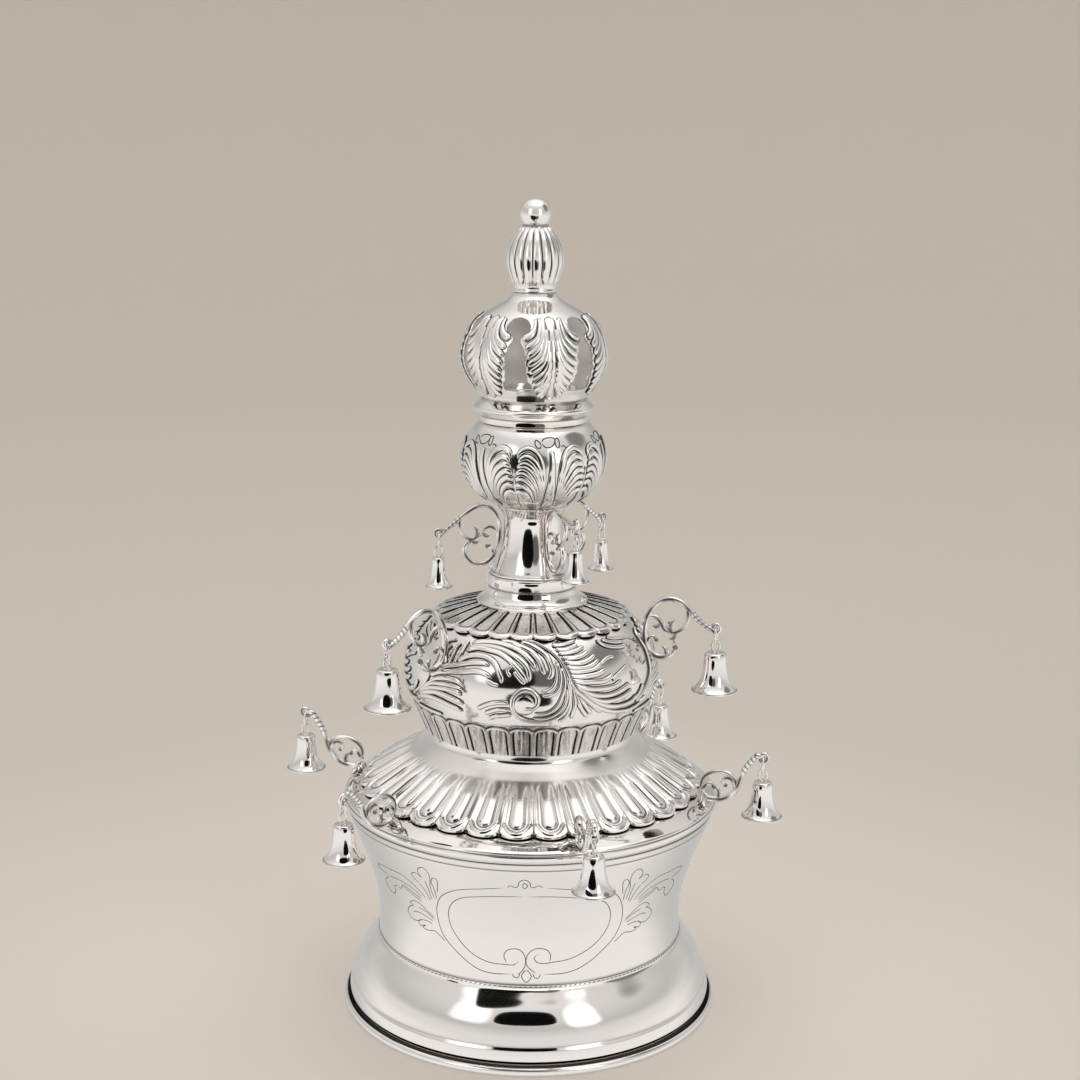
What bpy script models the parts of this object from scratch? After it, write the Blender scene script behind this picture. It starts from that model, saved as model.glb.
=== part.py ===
"""A silver Torah crown: two hollow drums under a neck, a knop, a pierced bulb and a bud finial,
with three tiers of scroll arms that each carry a bell.

Blender units are metres with +Z up. The origin is the centre of the foot's underside, and the
front faces -Y. Sizes in this file are in millimetres, and a place on the crown is given as a
radius from the axis, a height above the underside and an azimuth, in degrees from the front
towards +X.
"""

import math
from collections import namedtuple

import bmesh
import bpy
from mathutils import Matrix

MM = 0.001
GAP = 0.3  # clearance where two pieces meet
FRONT_TO_X = 90.0  # azimuth of +X, where nothing is turned
SHARP_ANGLE = 40.0  # edges that turn by more than this many degrees stay sharp
WELD = 1e-6  # metres

# Heights of the joints between the pieces, up the axis.
FOOT_TOP = 4.4
RIM_TOP = 112.8
LEDGE = 116.5
SHOULDER_TOP = 140.1
CAP_TOP = 211.4
NECK_TOP = 260.7
KNOP_TOP = 302.2
RING_TOP = 314.2
BULB_TOP = 365.2
BALL_TOP = 410.6

# The ledge slopes up from its edge at RIM_TOP to its flat inner part at LEDGE.
LEDGE_EDGE, LEDGE_INNER = 94.8, 84.0

# What repeats round the axis, with the azimuth of one crest.
FLUTES, FLUTE_CREST = 32, 6.8
TONGUES, TONGUE_CREST = 32, 6.8
PETALS, PETAL_CREST = 27, 7.6
LEAVES, LEAF_CREST = 6, 15.0
REEDS, REED_CREST = 18, 5.0

# Hanging parts. A loop is the oval of a link or of a bell's eye.
HOOK_RADIUS = 1.9
HOOK_TAPER, END_TAPER = 0.55, 0.8
BRANCH_SHARE = 0.8  # a branch's section against its arm's
HOOK_TO_BELL = 12.0
LOOP_HALF_WIDTH = 1.9
LINK_WIRE, LINK_HALF_HEIGHT, LINK_DROP = 0.9, 3.3, 3.5
EYE_WIRE, EYE_HALF_HEIGHT, EYE_RISE = 1.0, 3.2, 3.25

# A bell's outline from crown to lip and back up inside, in shares of its radius and height.
BELL_OUTLINE = (
    (0, 1), (0.46, 0.985), (0.58, 0.44), (0.78, 0.17), (1, 0.05), (0.9, 0),
    (0.69, 0.17), (0.48, 0.44), (0.4, 0.9), (0, 0.92),
)

# Half width of a piercing of the bulb at each height: a round lobe over a narrow waist and a
# flared foot.
KEYHOLE = (
    (320.8, 7.0), (331.0, 5.6), (339.5, 5.0), (344.8, 2.0), (350.5, 6.2), (355.4, 2.4),
)

# The pad of a lower arm is an ellipsoid: its place, and half its size away from the axis, across
# and up.
PAD_RADIUS, PAD_HALF_REACH, PAD_HALF_WIDTH, PAD_HALF_HEIGHT = 91.6, 3.4, 7.5, 2.6

# A tier of arms. Strips are routes of (radius, height), the first ending in the hook's curl.
# curl is the angle of the curl's first corner about the hook's centre, the turn from each corner
# to the next and how many corners there are. bell is a radius, a height and a count of sides.
# An arm is an azimuth and how far its tip is bent up from the tier's height.
Tier = namedtuple("Tier", "name strips hook curl thickness width bell arms")
UPPER = Tier(
    name="upper",
    strips=(
        ((31.2, 242.2), (34.0, 236.8), (30.4, 230.9), (23.4, 230.6), (18.0, 237.6),
         (16.4, 247.6), (19.8, 257.8), (28.2, 259.4), (42.2, 248.4)),
        ((36.6, 253.2), (35.8, 247.0), (31.4, 243.2), (26.8, 246.0)),
        ((17.0, 243.0), (20.0, 248.6), (24.2, 247.4), (28.4, 243.6)),
    ),
    hook=(47.0, 246.0), curl=(-160, 75, 4), thickness=2.0, width=2.6, bell=(6.85, 15.5, 8),
    arms=((-84, 0), (26, 12), (131, 1.5)),
)
MIDDLE = Tier(
    name="middle",
    strips=(
        ((74.2, 192.8), (70.2, 188.2), (64.2, 187.7), (59.3, 192.9), (58.2, 203.4),
         (64.0, 214.8), (71.2, 217.4), (77.6, 215.4), (89.4, 204.8)),
        ((80.4, 213.0), (79.4, 205.0), (75.0, 200.8), (70.8, 202.4)),
        ((58.8, 205.8), (64.0, 207.4), (68.0, 201.8), (73.4, 199.4), (73.2, 195.2)),
    ),
    hook=(94.5, 204.4), curl=(-160, 75, 4), thickness=2.3, width=3.0, bell=(11.5, 19.8, 10),
    arms=((-46, 1), (73, 0), (194, 0)),
)
LOWER = Tier(
    name="lower",
    strips=(
        ((90.4, 118.2), (96.5, 116.5), (103.2, 118.2), (107.6, 123.4), (114.6, 137.2)),
        ((107.2, 122.8), (104.4, 128.6), (98.4, 130.8), (92.4, 129.0), (89.2, 124.2), (90.6, 118.0)),
    ),
    hook=(120.3, 138.2), curl=(150, -68, 5), thickness=2.3, width=3.0, bell=(10.8, 18.5, 10),
    arms=((14, -4.5), (73, 2.3), (143, 0.8), (199, 0), (259, 5.5), (313, -4)),
)


def silver(name, colour, roughness):
    material = bpy.data.materials.new(name)
    material.use_nodes = True
    shader = material.node_tree.nodes["Principled BSDF"]
    shader.inputs["Base Color"].default_value = (*colour, 1)
    shader.inputs["Metallic"].default_value = 1
    shader.inputs["Roughness"].default_value = roughness
    return material


def add(name, mesh, material, azimuth=FRONT_TO_X, radius=0.0, height=0.0):
    """Puts a mesh on the crown, with its +X pointing away from the axis at azimuth."""
    mesh.materials.clear()
    mesh.materials.append(material)
    mesh.shade_smooth()
    mesh.set_sharp_from_angle(angle=math.radians(SHARP_ANGLE))
    obj = bpy.data.objects.new(name, mesh)
    bpy.context.collection.objects.link(obj)
    turn = math.radians(azimuth - FRONT_TO_X)
    obj.location = (radius * MM * math.cos(turn), radius * MM * math.sin(turn), height * MM)
    obj.rotation_euler.z = turn
    obj.parent = crown


def finished(bm):
    """The bmesh as a mesh with welded corners and its faces pointing out."""
    bmesh.ops.remove_doubles(bm, verts=bm.verts, dist=WELD)
    bmesh.ops.recalc_face_normals(bm, faces=bm.faces)
    mesh = bpy.data.meshes.new("shape")
    bm.to_mesh(mesh)
    bm.free()
    return mesh


def turned(rows, steps, waves=0, crest=FRONT_TO_X):
    """A closed mesh turned about Z from an outline of rows.

    A row is (radius, height), going round the outline, and a row on the axis is a pole. A row
    with two more numbers follows the waves: they say how far out and up a crest moves it, and
    a dip moves it as far the other way. Azimuth crest is a crest. With two steps to a wave, the
    plain rows keep only the columns at the crests.
    """
    bm = bmesh.new()
    columns = []
    for step in range(steps):
        turn = math.tau * step / steps
        azimuth = math.radians(crest) + turn
        wave = math.cos(waves * turn) if waves else 0
        column = []
        for radius, height, *swing in rows:
            out, up = swing or (0, 0)
            spread = (radius + out * wave) * MM
            level = (height + up * wave) * MM
            column.append(bm.verts.new((spread * math.sin(azimuth), -spread * math.cos(azimuth), level)))
        columns.append(column)
    first_band = 0 if rows[0][0] == 0 else -1
    for left, right in zip(columns, columns[1:] + columns[:1]):
        for row in range(first_band, len(rows) - 1):
            bm.faces.new((left[row], left[row + 1], right[row + 1], right[row]))
    if steps == 2 * waves:
        plain = [index for index, row in enumerate(rows) if len(row) == 2 and row[0] > 0]
        welds = {columns[i + 1][row]: columns[i][row] for i in range(0, steps, 2) for row in plain}
        bmesh.ops.weld_verts(bm, targetmap=welds)
    return finished(bm)


def evaluated(obj, helpers=()):
    """The mesh of an object with its modifiers applied. The object and its helpers go."""
    for item in (obj, *helpers):
        bpy.context.collection.objects.link(item)
    bpy.context.view_layer.update()
    graph = bpy.context.evaluated_depsgraph_get()
    mesh = bpy.data.meshes.new_from_object(obj.evaluated_get(graph))
    for item in (obj, *helpers):
        bpy.data.objects.remove(item)
    return mesh


def combined(first, others, operation):
    """One mesh from a mesh and the others, by a Boolean for each."""
    base = bpy.data.objects.new("base", first)
    helpers = [bpy.data.objects.new("helper", other) for other in others]
    for helper in helpers:
        step = base.modifiers.new("step", "BOOLEAN")
        step.operation = operation
        step.object = helper
    return evaluated(base, helpers)


def wire(points, thickness, width, taper=None, closed=False):
    """A strip through points (x, z): thickness lies in the XZ plane, and width across it, along
    Y. taper scales the section at each point. An open strip has flat ends."""
    curve = bpy.data.curves.new("wire", "CURVE")
    curve.dimensions = "3D"
    curve.bevel_depth = thickness / math.sqrt(2) * MM
    curve.bevel_resolution = 0
    curve.use_fill_caps = True
    spline = curve.splines.new("POLY")
    spline.use_cyclic_u = closed
    spline.points.add(len(points) - 1)
    for index, (x, z) in enumerate(points):
        spline.points[index].co = (x * MM, 0, z * MM, 1)
        spline.points[index].tilt = math.pi / 4
        spline.points[index].radius = taper[index] if taper else 1
    bm = bmesh.new()
    bm.from_mesh(evaluated(bpy.data.objects.new("wire", curve)))
    bmesh.ops.scale(bm, vec=(1, width / thickness, 1), verts=bm.verts)
    return finished(bm)


def loop(half_height, size, rise=0.0):
    """A closed oval of wire in the XZ plane, flat at its top and bottom."""
    shoulder = 0.75 * LOOP_HALF_WIDTH
    corners = (
        (LOOP_HALF_WIDTH, rise), (shoulder, rise + half_height), (-shoulder, rise + half_height),
        (-LOOP_HALF_WIDTH, rise), (-shoulder, rise - half_height), (shoulder, rise - half_height),
    )
    return wire(corners, size, size, closed=True)


def keyhole_cutter():
    """Six prisms that reach in from outside the bulb, one at each dip between the leaves."""
    bm = bmesh.new()
    outline = [(half, level) for level, half in KEYHOLE]
    outline += [(-half, level) for level, half in reversed(KEYHOLE)]
    inner, outer = 16.0, 45.0
    for leaf in range(LEAVES):
        turn = math.radians(LEAF_CREST + (leaf + 0.5) * 360 / LEAVES - FRONT_TO_X)
        face = bm.faces.new([bm.verts.new((inner * MM, side * MM, level * MM)) for side, level in outline])
        swept = bmesh.ops.extrude_face_region(bm, geom=[face])["geom"]
        moved = [item for item in swept if isinstance(item, bmesh.types.BMVert)]
        bmesh.ops.translate(bm, vec=((outer - inner) * MM, 0, 0), verts=moved)
        both = list(face.verts) + moved
        bmesh.ops.rotate(bm, cent=(0, 0, 0), matrix=Matrix.Rotation(turn, 3, "Z"), verts=both)
    return finished(bm)


def leafy_foot():
    """The leaf pad of a lower arm, which rests on the sloping ledge under the arm's loop."""
    bm = bmesh.new()
    bmesh.ops.create_uvsphere(bm, u_segments=8, v_segments=4, radius=MM)
    bmesh.ops.scale(bm, vec=(PAD_HALF_REACH, PAD_HALF_WIDTH, PAD_HALF_HEIGHT), verts=bm.verts)
    slope = (LEDGE - RIM_TOP) / (LEDGE_EDGE - LEDGE_INNER)
    ledge = RIM_TOP + (LEDGE_EDGE - PAD_RADIUS) * slope
    middle = ledge + GAP + math.hypot(PAD_HALF_REACH * slope, PAD_HALF_HEIGHT)
    bmesh.ops.translate(bm, vec=(PAD_RADIUS * MM, 0, middle * MM), verts=bm.verts)
    return finished(bm)


def bent(points, tier, lift):
    """The points with the tip bent up by lift, as a bracket bends: more and more along it."""
    root = min(radius for radius, height in tier.strips[0])
    reach = tier.hook[0] - root
    return [(radius, height + lift * ((radius - root) / reach) ** 2) for radius, height in points]


def arm_mesh(tier, lift):
    """A scroll arm in the XZ plane, with its hook curled round the hook's centre."""
    start, turn, count = tier.curl
    angles = [math.radians(start + turn * index) for index in range(count)]
    hook_x, hook_z = tier.hook
    curl = [(hook_x + HOOK_RADIUS * math.cos(a), hook_z + lift + HOOK_RADIUS * math.sin(a)) for a in angles]
    route = bent(tier.strips[0], tier, lift) + curl
    full = [1] * (len(tier.strips[0]) - 2)
    taper = [END_TAPER, *full, END_TAPER] + [HOOK_TAPER] * count
    main = wire(route, tier.thickness, tier.width, taper)
    size, across = BRANCH_SHARE * tier.thickness, BRANCH_SHARE * tier.width
    branches = [wire(bent(strip, tier, lift), size, across) for strip in tier.strips[1:]]
    if tier is LOWER:
        branches.append(leafy_foot())
    return combined(main, branches, "UNION")


def bell_mesh(radius, height, sides):
    shell = turned([(radius * out, height * up) for out, up in BELL_OUTLINE], sides)
    eye = loop(EYE_HALF_HEIGHT, EYE_WIRE, rise=height + EYE_RISE)
    return combined(shell, [eye], "UNION")


def add_tier(tier):
    """The tier's arms, with a link and a bell under each hook."""
    bell_radius, bell_height, bell_sides = tier.bell
    bell = bell_mesh(bell_radius, bell_height, bell_sides)
    link = loop(LINK_HALF_HEIGHT, LINK_WIRE)
    link.transform(Matrix.Rotation(math.pi / 2, 4, "Z"))
    hook_radius, hook_height = tier.hook
    for number, (azimuth, lift) in enumerate(tier.arms, 1):
        hook = hook_height + lift
        mouth = hook - HOOK_TO_BELL - bell_height
        add(f"{tier.name}_arm_{number}", arm_mesh(tier, lift), chased, azimuth)
        add(f"{tier.name}_link_{number}", link, polished, azimuth, hook_radius, hook - LINK_DROP)
        add(f"{tier.name}_bell_{number}", bell, polished, azimuth, hook_radius, mouth)


def add_drums():
    """The foot ring, the lower drum with its ledge, the shoulder and the upper drum."""
    foot = (
        (91.6, 0), (95.0, 0), (96.5, 1.9), (95.2, FOOT_TOP), (91.6, FOOT_TOP),
    )
    add("foot_ring", turned(foot, 32), polished)
    base = FOOT_TOP + GAP
    lower_drum = (
        (93.2, base), (92.8, 11.5), (87.4, 24.9), (78.6, 37.2), (77.7, 49.0), (80.0, 66.0),
        (85.6, 84.5), (93.4, 103.6), (95.0, 108.6), (LEDGE_EDGE, RIM_TOP), (LEDGE_INNER, LEDGE),
        (81.0, LEDGE), (81.0, 115.2), (93.2, 111.4), (84.3, 85.0), (78.7, 66.0), (76.5, 49.0),
        (77.3, 37.0), (86.2, 24.4), (91.9, base),
    )
    add("lower_drum", turned(lower_drum, 30), polished)
    base = LEDGE + GAP
    shoulder = (
        (50.9, SHOULDER_TOP), (62.0, 133.3, 0.3, 0.6), (81.2, 121.4, 0.4, 0.9),
        (85.5, 118.8, 1.7, -1.0), (85.2, 117.5, 1.7, -0.6), (82.4, base), (80.8, base),
        (79.6, 120.6), (50.9, 138.0),
    )
    add("fluted_shoulder", turned(shoulder, 2 * FLUTES, FLUTES, FLUTE_CREST), chased)
    base = SHOULDER_TOP + GAP
    upper_drum = (
        (52.6, base), (51.8, 144.6), (54.4, 148.2, 0.6, 0), (58.8, 160.6, 0.6, 0.6), (62.2, 170.0),
        (63.3, 178.0), (61.2, 187.8), (55.2, 196.8), (46.6, 204.1),
        (46.6, 203.0), (53.9, 196.0), (61.0, 178.0), (50.4, 145.0), (50.4, base),
    )
    add("upper_drum", turned(upper_drum, 2 * TONGUES, TONGUES, TONGUE_CREST), chased)


def add_crest():
    """The cap, the neck, the knop with its ring, the pierced bulb and the finial."""
    cap = (
        (27.9, CAP_TOP), (37.0, 209.2, 0, 0.5), (47.4, 205.4, 0.2, 0.5), (49.4, 204.2, 0.8, 0),
        (49.4, 203.1, 0.8, 0), (45.6, 205.3), (27.9, 210.2),
    )
    add("scalloped_cap", turned(cap, 2 * PETALS, PETALS, PETAL_CREST), chased)
    base = CAP_TOP + GAP
    neck = (
        (0, base), (28.0, base), (25.2, 213.6), (22.1, 218.6), (21.9, 224.8), (17.4, 234.8),
        (14.8, 246.0), (15.2, 254.8), (18.8, NECK_TOP), (0, NECK_TOP),
    )
    add("neck", turned(neck, 20), polished)
    base = NECK_TOP + GAP
    knop = (
        (0, base), (19.6, base), (30.3, 269.4, 0.5, 0), (34.6, 278.2, 0.5, 0), (35.4, 286.0),
        (32.9, 295.4), (27.2, KNOP_TOP), (0, KNOP_TOP),
    )
    add("lower_knop", turned(knop, 4 * LEAVES, LEAVES, LEAF_CREST), chased)
    base = KNOP_TOP + GAP
    ring = (
        (0, base), (26.4, base), (26.6, 305.4), (30.3, 309.4), (26.4, RING_TOP), (0, RING_TOP),
    )
    add("knop_ring", turned(ring, 24), polished)
    base = RING_TOP + GAP
    bulb = (
        (26.0, base), (31.0, 322.4, 0.3, 0), (35.0, 332.0, 0.3, 0), (34.2, 341.0, 0.3, 0), (28.4, 352.2),
        (20.2, 358.1), (11.9, 363.2), (11.2, BULB_TOP),
        (9.9, BULB_TOP), (19.3, 356.9), (27.3, 351.2), (33.4, 334.0), (29.6, 322.8), (24.8, base),
    )
    shell = turned(bulb, 4 * LEAVES, LEAVES, LEAF_CREST)
    add("pierced_bulb", combined(shell, [keyhole_cutter()], "DIFFERENCE"), chased)
    base = BULB_TOP + GAP
    finial = (
        (0, base), (10.6, base), (10.4, 367.8), (11.8, 372.4, 0.4, 0), (13.3, 378.4, 0.4, 0),
        (13.3, 382.8, 0.4, 0), (11.2, 390.2, 0.3, 0), (6.3, 397.4), (7.9, 402.2), (5.7, 408.2),
        (0, BALL_TOP),
    )
    add("bud_finial", turned(finial, 2 * REEDS, REEDS, REED_CREST), chased)


for item in list(bpy.data.objects):
    bpy.data.objects.remove(item)
crown = bpy.data.objects.new("torah_crown", None)
bpy.context.collection.objects.link(crown)
polished = silver("polished_silver", (0.88, 0.87, 0.85), 0.08)
chased = silver("chased_silver", (0.80, 0.79, 0.77), 0.22)
add_drums()
add_crest()
for tier in (UPPER, MIDDLE, LOWER):
    add_tier(tier)
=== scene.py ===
"""The looks of a silver Torah crown: turned and fluted drums, chased acanthus, a pierced bulb and
three tiers of milled scroll arms with bells.

Lengths are millimetres, heights are above the underside of the foot, and azimuths are degrees
from the front (-Y) towards +X. A stroke is a row of (azimuth, height) or of (radius, height). A
shape is (points, quads, tarnish): points in millimetres, quads that may close to a triangle at a
pole, and how dark each point is, from 0 polished to 1 black, or below 0 for matt but not dark.
"""

import bpy
import numpy as np
from mathutils import Matrix


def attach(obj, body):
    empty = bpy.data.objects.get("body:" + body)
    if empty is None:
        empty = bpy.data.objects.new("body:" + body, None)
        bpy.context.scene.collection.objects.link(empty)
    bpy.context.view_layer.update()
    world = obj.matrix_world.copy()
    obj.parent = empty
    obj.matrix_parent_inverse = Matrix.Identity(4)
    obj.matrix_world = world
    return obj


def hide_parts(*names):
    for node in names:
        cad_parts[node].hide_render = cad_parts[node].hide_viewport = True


MM = 0.001
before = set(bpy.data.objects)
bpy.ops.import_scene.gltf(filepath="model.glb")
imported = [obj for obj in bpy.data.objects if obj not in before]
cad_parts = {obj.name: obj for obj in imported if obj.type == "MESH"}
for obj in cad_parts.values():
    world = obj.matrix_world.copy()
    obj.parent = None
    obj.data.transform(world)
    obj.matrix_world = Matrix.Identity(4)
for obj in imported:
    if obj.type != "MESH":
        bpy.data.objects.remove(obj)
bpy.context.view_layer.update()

# What repeats round the axis, each with the azimuth of one crest.
FLUTES, FLUTE_CREST = 32, 6.8
TONGUES, TONGUE_CREST = 32, 6.8
PETALS, PETAL_CREST = 27, 7.6
LEAVES, LEAF_CREST = 6, 15
RIBS, RIB_CREST = 18, 5
SHARP_EDGE = 42  # degrees between two faces


# ---------------------------------------------------------------- curves and shapes


def unit(vectors):
    """Vectors brought to length 1."""
    return vectors / np.maximum(np.linalg.norm(vectors, axis=-1, keepdims=True), 1e-9)


def run_along(points, axis=0, closed=False):
    """The direction of a line at each of its points."""
    if closed:
        return unit(np.roll(points, -1, axis) - np.roll(points, 1, axis))
    return unit(np.gradient(points, axis=axis))


def lengths(line):
    """How far along a line each of its points is."""
    return np.concatenate([[0], np.linalg.norm(np.diff(line, axis=0), axis=1).cumsum()])


def smooth(points, count):
    """A curve through points at count even steps of its length. Each span is the Catmull-Rom cubic
    (2 b + (c - a) u + (2 a - 5 b + 4 c - d) u^2 + (3 b - a - 3 c + d) u^3) / 2."""
    p = np.asarray(points, float)
    p = np.vstack([2 * p[0] - p[1], p, 2 * p[-1] - p[-2]])
    u = np.linspace(0, len(p) - 3, 24 * len(p))
    i = np.minimum(u.astype(int), len(p) - 4)
    u = (u - i)[:, None]
    a, b, c, d = (p[i + k] for k in range(4))
    square, cube = 2 * a - 5 * b + 4 * c - d, 3 * b - a - 3 * c + d
    curve = (2 * b + (c - a) * u + square * u**2 + cube * u**3) / 2
    along = lengths(curve)
    at = np.linspace(0, along[-1], count)
    return np.stack([np.interp(at, along, axis) for axis in curve.T], 1)


def bezier(corners, count):
    """Cubic Bezier curves (1-u)^3 a + 3 (1-u)^2 u b + 3 (1-u) u^2 c + u^3 d, one for each row of
    corners, with steps that close up towards both ends."""
    corners = np.asarray(corners, float)
    u = (0.5 - 0.5 * np.cos(np.pi * np.linspace(0, 1, count)))[None, :, None]
    a, b, c, d = (corners[:, None, i] for i in range(4))
    return (1 - u) ** 3 * a + 3 * (1 - u) ** 2 * u * b + 3 * (1 - u) * u**2 * c + u**3 * d


def bump(value, at, width):
    """A bell curve exp(-((value - at) / width)^2)."""
    return np.exp(-(((value - at) / width) ** 2))


def grid(points, oxide_and_shade=0, ring=False):
    """K grids (K, rows, columns, 3) as one shape. Columns always join round. Rows join too where
    ring is set, and otherwise the first and last rows are poles, one point each."""
    k, rows, columns = points.shape[:3]
    index = np.arange(rows * columns).reshape(rows, columns)
    if not ring:
        index[0], index[-1] = index[0, 0], index[-1, 0]
    row = np.arange(rows if ring else rows - 1)[:, None]
    column = np.arange(columns)[None, :]
    up, on = (row + 1) % rows, (column + 1) % columns
    quads = np.stack([index[row, column], index[row, on], index[up, on], index[up, column]], -1)
    quads = quads.reshape(1, -1, 4) + np.arange(k)[:, None, None] * rows * columns
    oxide_and_shade = np.broadcast_to(np.asarray(oxide_and_shade, float), points.shape[:3])
    return points.reshape(-1, 3), quads.reshape(-1, 4), oxide_and_shade.reshape(-1)


def joined(*shapes):
    """Several shapes as one."""
    points, quads, oxide_and_shade = zip(*shapes)
    starts = np.cumsum([0] + [len(part) for part in points[:-1]])
    quads = [part + start for part, start in zip(quads, starts)]
    return np.concatenate(points), np.concatenate(quads), np.concatenate(oxide_and_shade)


def turned_to(shape, azimuth, radius=0, height=0):
    """The shape moved radius along X and height along Z, then turned so that +X faces azimuth."""
    points, quads, oxide_and_shade = shape
    turn = np.radians(azimuth - 90)
    x, y, z = (points + (radius, 0, height)).T
    turned = (x * np.cos(turn) - y * np.sin(turn), x * np.sin(turn) + y * np.cos(turn), z)
    return np.stack(turned, 1), quads, oxide_and_shade


def round_axis(shape, count, azimuth):
    """The shape count times round the axis, turned by azimuth and on from there."""
    return joined(*[turned_to(shape, 90 + azimuth + k * 360 / count) for k in range(count)])


def lathe(profile, azimuths, relief=0, oxide_and_shade=0, ring=True):
    """Profile (radius, height) turned about Z, each row pushed out by relief along the profile's
    normal (dz, -dr). relief and tarnish are (rows, columns). A ring's profile closes on itself, and
    any other starts and ends on the axis."""
    radius, height = profile.T
    run = run_along(profile, 0, ring)
    t = np.radians(azimuths)[None]
    out = radius[:, None] + relief * run[:, 1:]
    up = height[:, None] - relief * run[:, :1] + 0 * t
    return grid(np.stack([out * np.sin(t), -out * np.cos(t), up], -1)[None], oxide_and_shade, ring)


def swept(path, out, half_width, above, below=None, ring=10, closed=False, edge=0, square=1):
    """K tubes along path (K, steps, 3). A section lies across the path: half_width to the sides,
    above along out and below against it, x = w |cos|^s sign, y = h |sin|^s sign, with s under 1 for
    a squarer one. edge is the tarnish at the two sides, which fades away from them."""
    path = np.asarray(path, float)
    run = run_along(path, 1, closed)
    across = unit(np.cross(out, run))
    out = np.cross(run, across)
    angle = np.linspace(0, 2 * np.pi, ring, endpoint=False)
    cos, sin = (np.sign(f) * np.abs(f) ** square for f in (np.cos(angle), np.sin(angle)))
    sizes = (half_width, above, above if below is None else below)
    wide, high, low = (np.broadcast_to(size, path.shape[:2])[..., None] for size in sizes)
    side = wide * cos
    rise = np.where(sin > 0, high, low) * sin
    points = path[:, :, None] + across[:, :, None] * side[..., None]
    points = points + out[:, :, None] * rise[..., None]
    return grid(points, edge * np.clip(1.9 - np.abs(np.sin(angle)) / 0.42, 0, 1), closed)


def ball(centre, radius, dark):
    """A ball of rings with radius sqrt(1 - u^2), u being its height over its radius."""
    u = -np.cos(np.linspace(0, np.pi, 13))
    profile = radius * np.stack([np.sqrt(1 - np.minimum(u * u, 1)), u], 1)
    points, quads, oxide_and_shade = lathe(profile, steps(16), oxide_and_shade=dark, ring=False)
    return points + np.asarray(centre, float), quads, oxide_and_shade


def full_rows(values, profile, start):
    """Values (rows, columns) set into a whole profile's rows from start, with 0 elsewhere."""
    whole = np.zeros((len(profile), values.shape[1]))
    whole[start : start + len(values)] = values
    return whole


def on_turned(outer, path):
    """Points on the turned surface of an outer line, and the surface's normals, along strokes
    (..., 2) of azimuth and height. The line's height rises all the way."""
    line_r, line_z = outer.T
    t, height = np.radians(path[..., 0]), path[..., 1]
    radius = np.interp(height, line_z, line_r)
    slope = np.interp(height, line_z, np.gradient(line_r, line_z))
    points = np.stack([radius * np.sin(t), -radius * np.cos(t), height], -1)
    return points, unit(np.stack([np.sin(t), -np.cos(t), -slope], -1))


def lobes(outer, paths, rise, widest, sink=0.3, blunt=0.14):
    """A fan of raised flutes on a turned surface, along strokes (K, steps, 2) in order. Each flute
    is as wide as the gap to its neighbours, up to widest. Its tip rounds off over its last share
    blunt as sqrt(1 - v^2), v running from 0 to 1 there."""
    points, normal = on_turned(outer, np.asarray(paths))
    step = np.linalg.norm(np.diff(points, axis=1), axis=2).cumsum(1)
    u = np.concatenate([np.zeros((len(points), 1)), step / step[:, -1:]], 1)
    gap = np.full((1, u.shape[1]), widest)
    if len(points) > 1:
        gap = np.linalg.norm(np.diff(points, axis=0), axis=2)
        gap = (np.concatenate([gap[:1], gap]) + np.concatenate([gap, gap[-1:]])) / 2
    width = np.minimum(0.96 * gap + 0.1, widest)
    start = np.sqrt(np.clip(u / 0.05, 0, 1))
    tip = np.sqrt(np.clip(1 - (np.maximum(u - 1 + blunt, 0) / blunt) ** 2, 0, 1))
    high = np.minimum(rise, 0.2 + 0.42 * width) * start * np.sqrt(tip)
    return swept(points, normal, width / 2 * start * tip, high, sink * start * tip, 14, edge=1)


def band(outer, stroke, half_width, rise, count=40):
    """A raised strip along one stroke on a turned surface, with round ends: its half width runs
    evenly through the values given, times sqrt(1 - v^2) near each end."""
    points, normal = on_turned(outer, smooth(stroke, count)[None])
    along = np.linspace(0, 1, count)
    wide = np.interp(along, np.linspace(0, 1, len(half_width)), half_width)[None]
    length = lengths(points[0])[-1]
    s = length * along[None]
    ends = np.sqrt(1 - np.clip(1 - np.minimum(s, length - s) / wide, 0, 1) ** 2)
    return swept(points, normal, wide * ends, rise * np.sqrt(ends), 0.3 * ends, 14, edge=0.9)


def lines(outer, strokes, width=0.45, rise=0.08, dark=0):
    """Engraved lines on a turned surface: hair-thin bright-cut strips through each stroke."""
    points, normal = on_turned(outer, np.stack([smooth(stroke, 40) for stroke in strokes]))
    taper = np.clip(np.minimum(np.arange(40), np.arange(40)[::-1]) / 2, 0, 1)[None]
    points, quads, oxide_and_shade = swept(
        points, normal, width / 2 * taper, rise * taper, 0.05 * taper, 6)
    return points, quads, oxide_and_shade + dark


# ---------------------------------------------------------------- silver


def linear(code):
    """An sRGB hex colour as linear RGBA."""
    channels = np.array([int(code[i : i + 2], 16) for i in (1, 3, 5)]) / 255
    channels = np.where(channels <= 0.04045, channels / 12.92, ((channels + 0.055) / 1.055) ** 2.4)
    return (*channels.tolist(), 1)


def add_node(tree, kind, settings=(), links=()):
    """A node with its settings, as attributes or input values, and its links (input, socket)."""
    node = tree.nodes.new(kind)
    for key, value in dict(settings).items():
        if isinstance(key, str) and hasattr(node, key):
            setattr(node, key, value)
        else:
            node.inputs[key].default_value = value
    for key, socket in links:
        tree.links.new(node.inputs[key], socket)
    return node


def add_maths(tree, operation, *terms):
    """The output of a maths node. Each of its terms is a number or a socket."""
    numbers = {key: term for key, term in enumerate(terms) if isinstance(term, (int, float))}
    links = [(key, term) for key, term in enumerate(terms) if key not in numbers]
    return add_node(tree, "ShaderNodeMath", {"operation": operation, **numbers}, links).outputs[0]


def new_material(name):
    """A material and its node tree."""
    material = bpy.data.materials.new(name)
    material.use_nodes = True
    return material, material.node_tree


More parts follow.
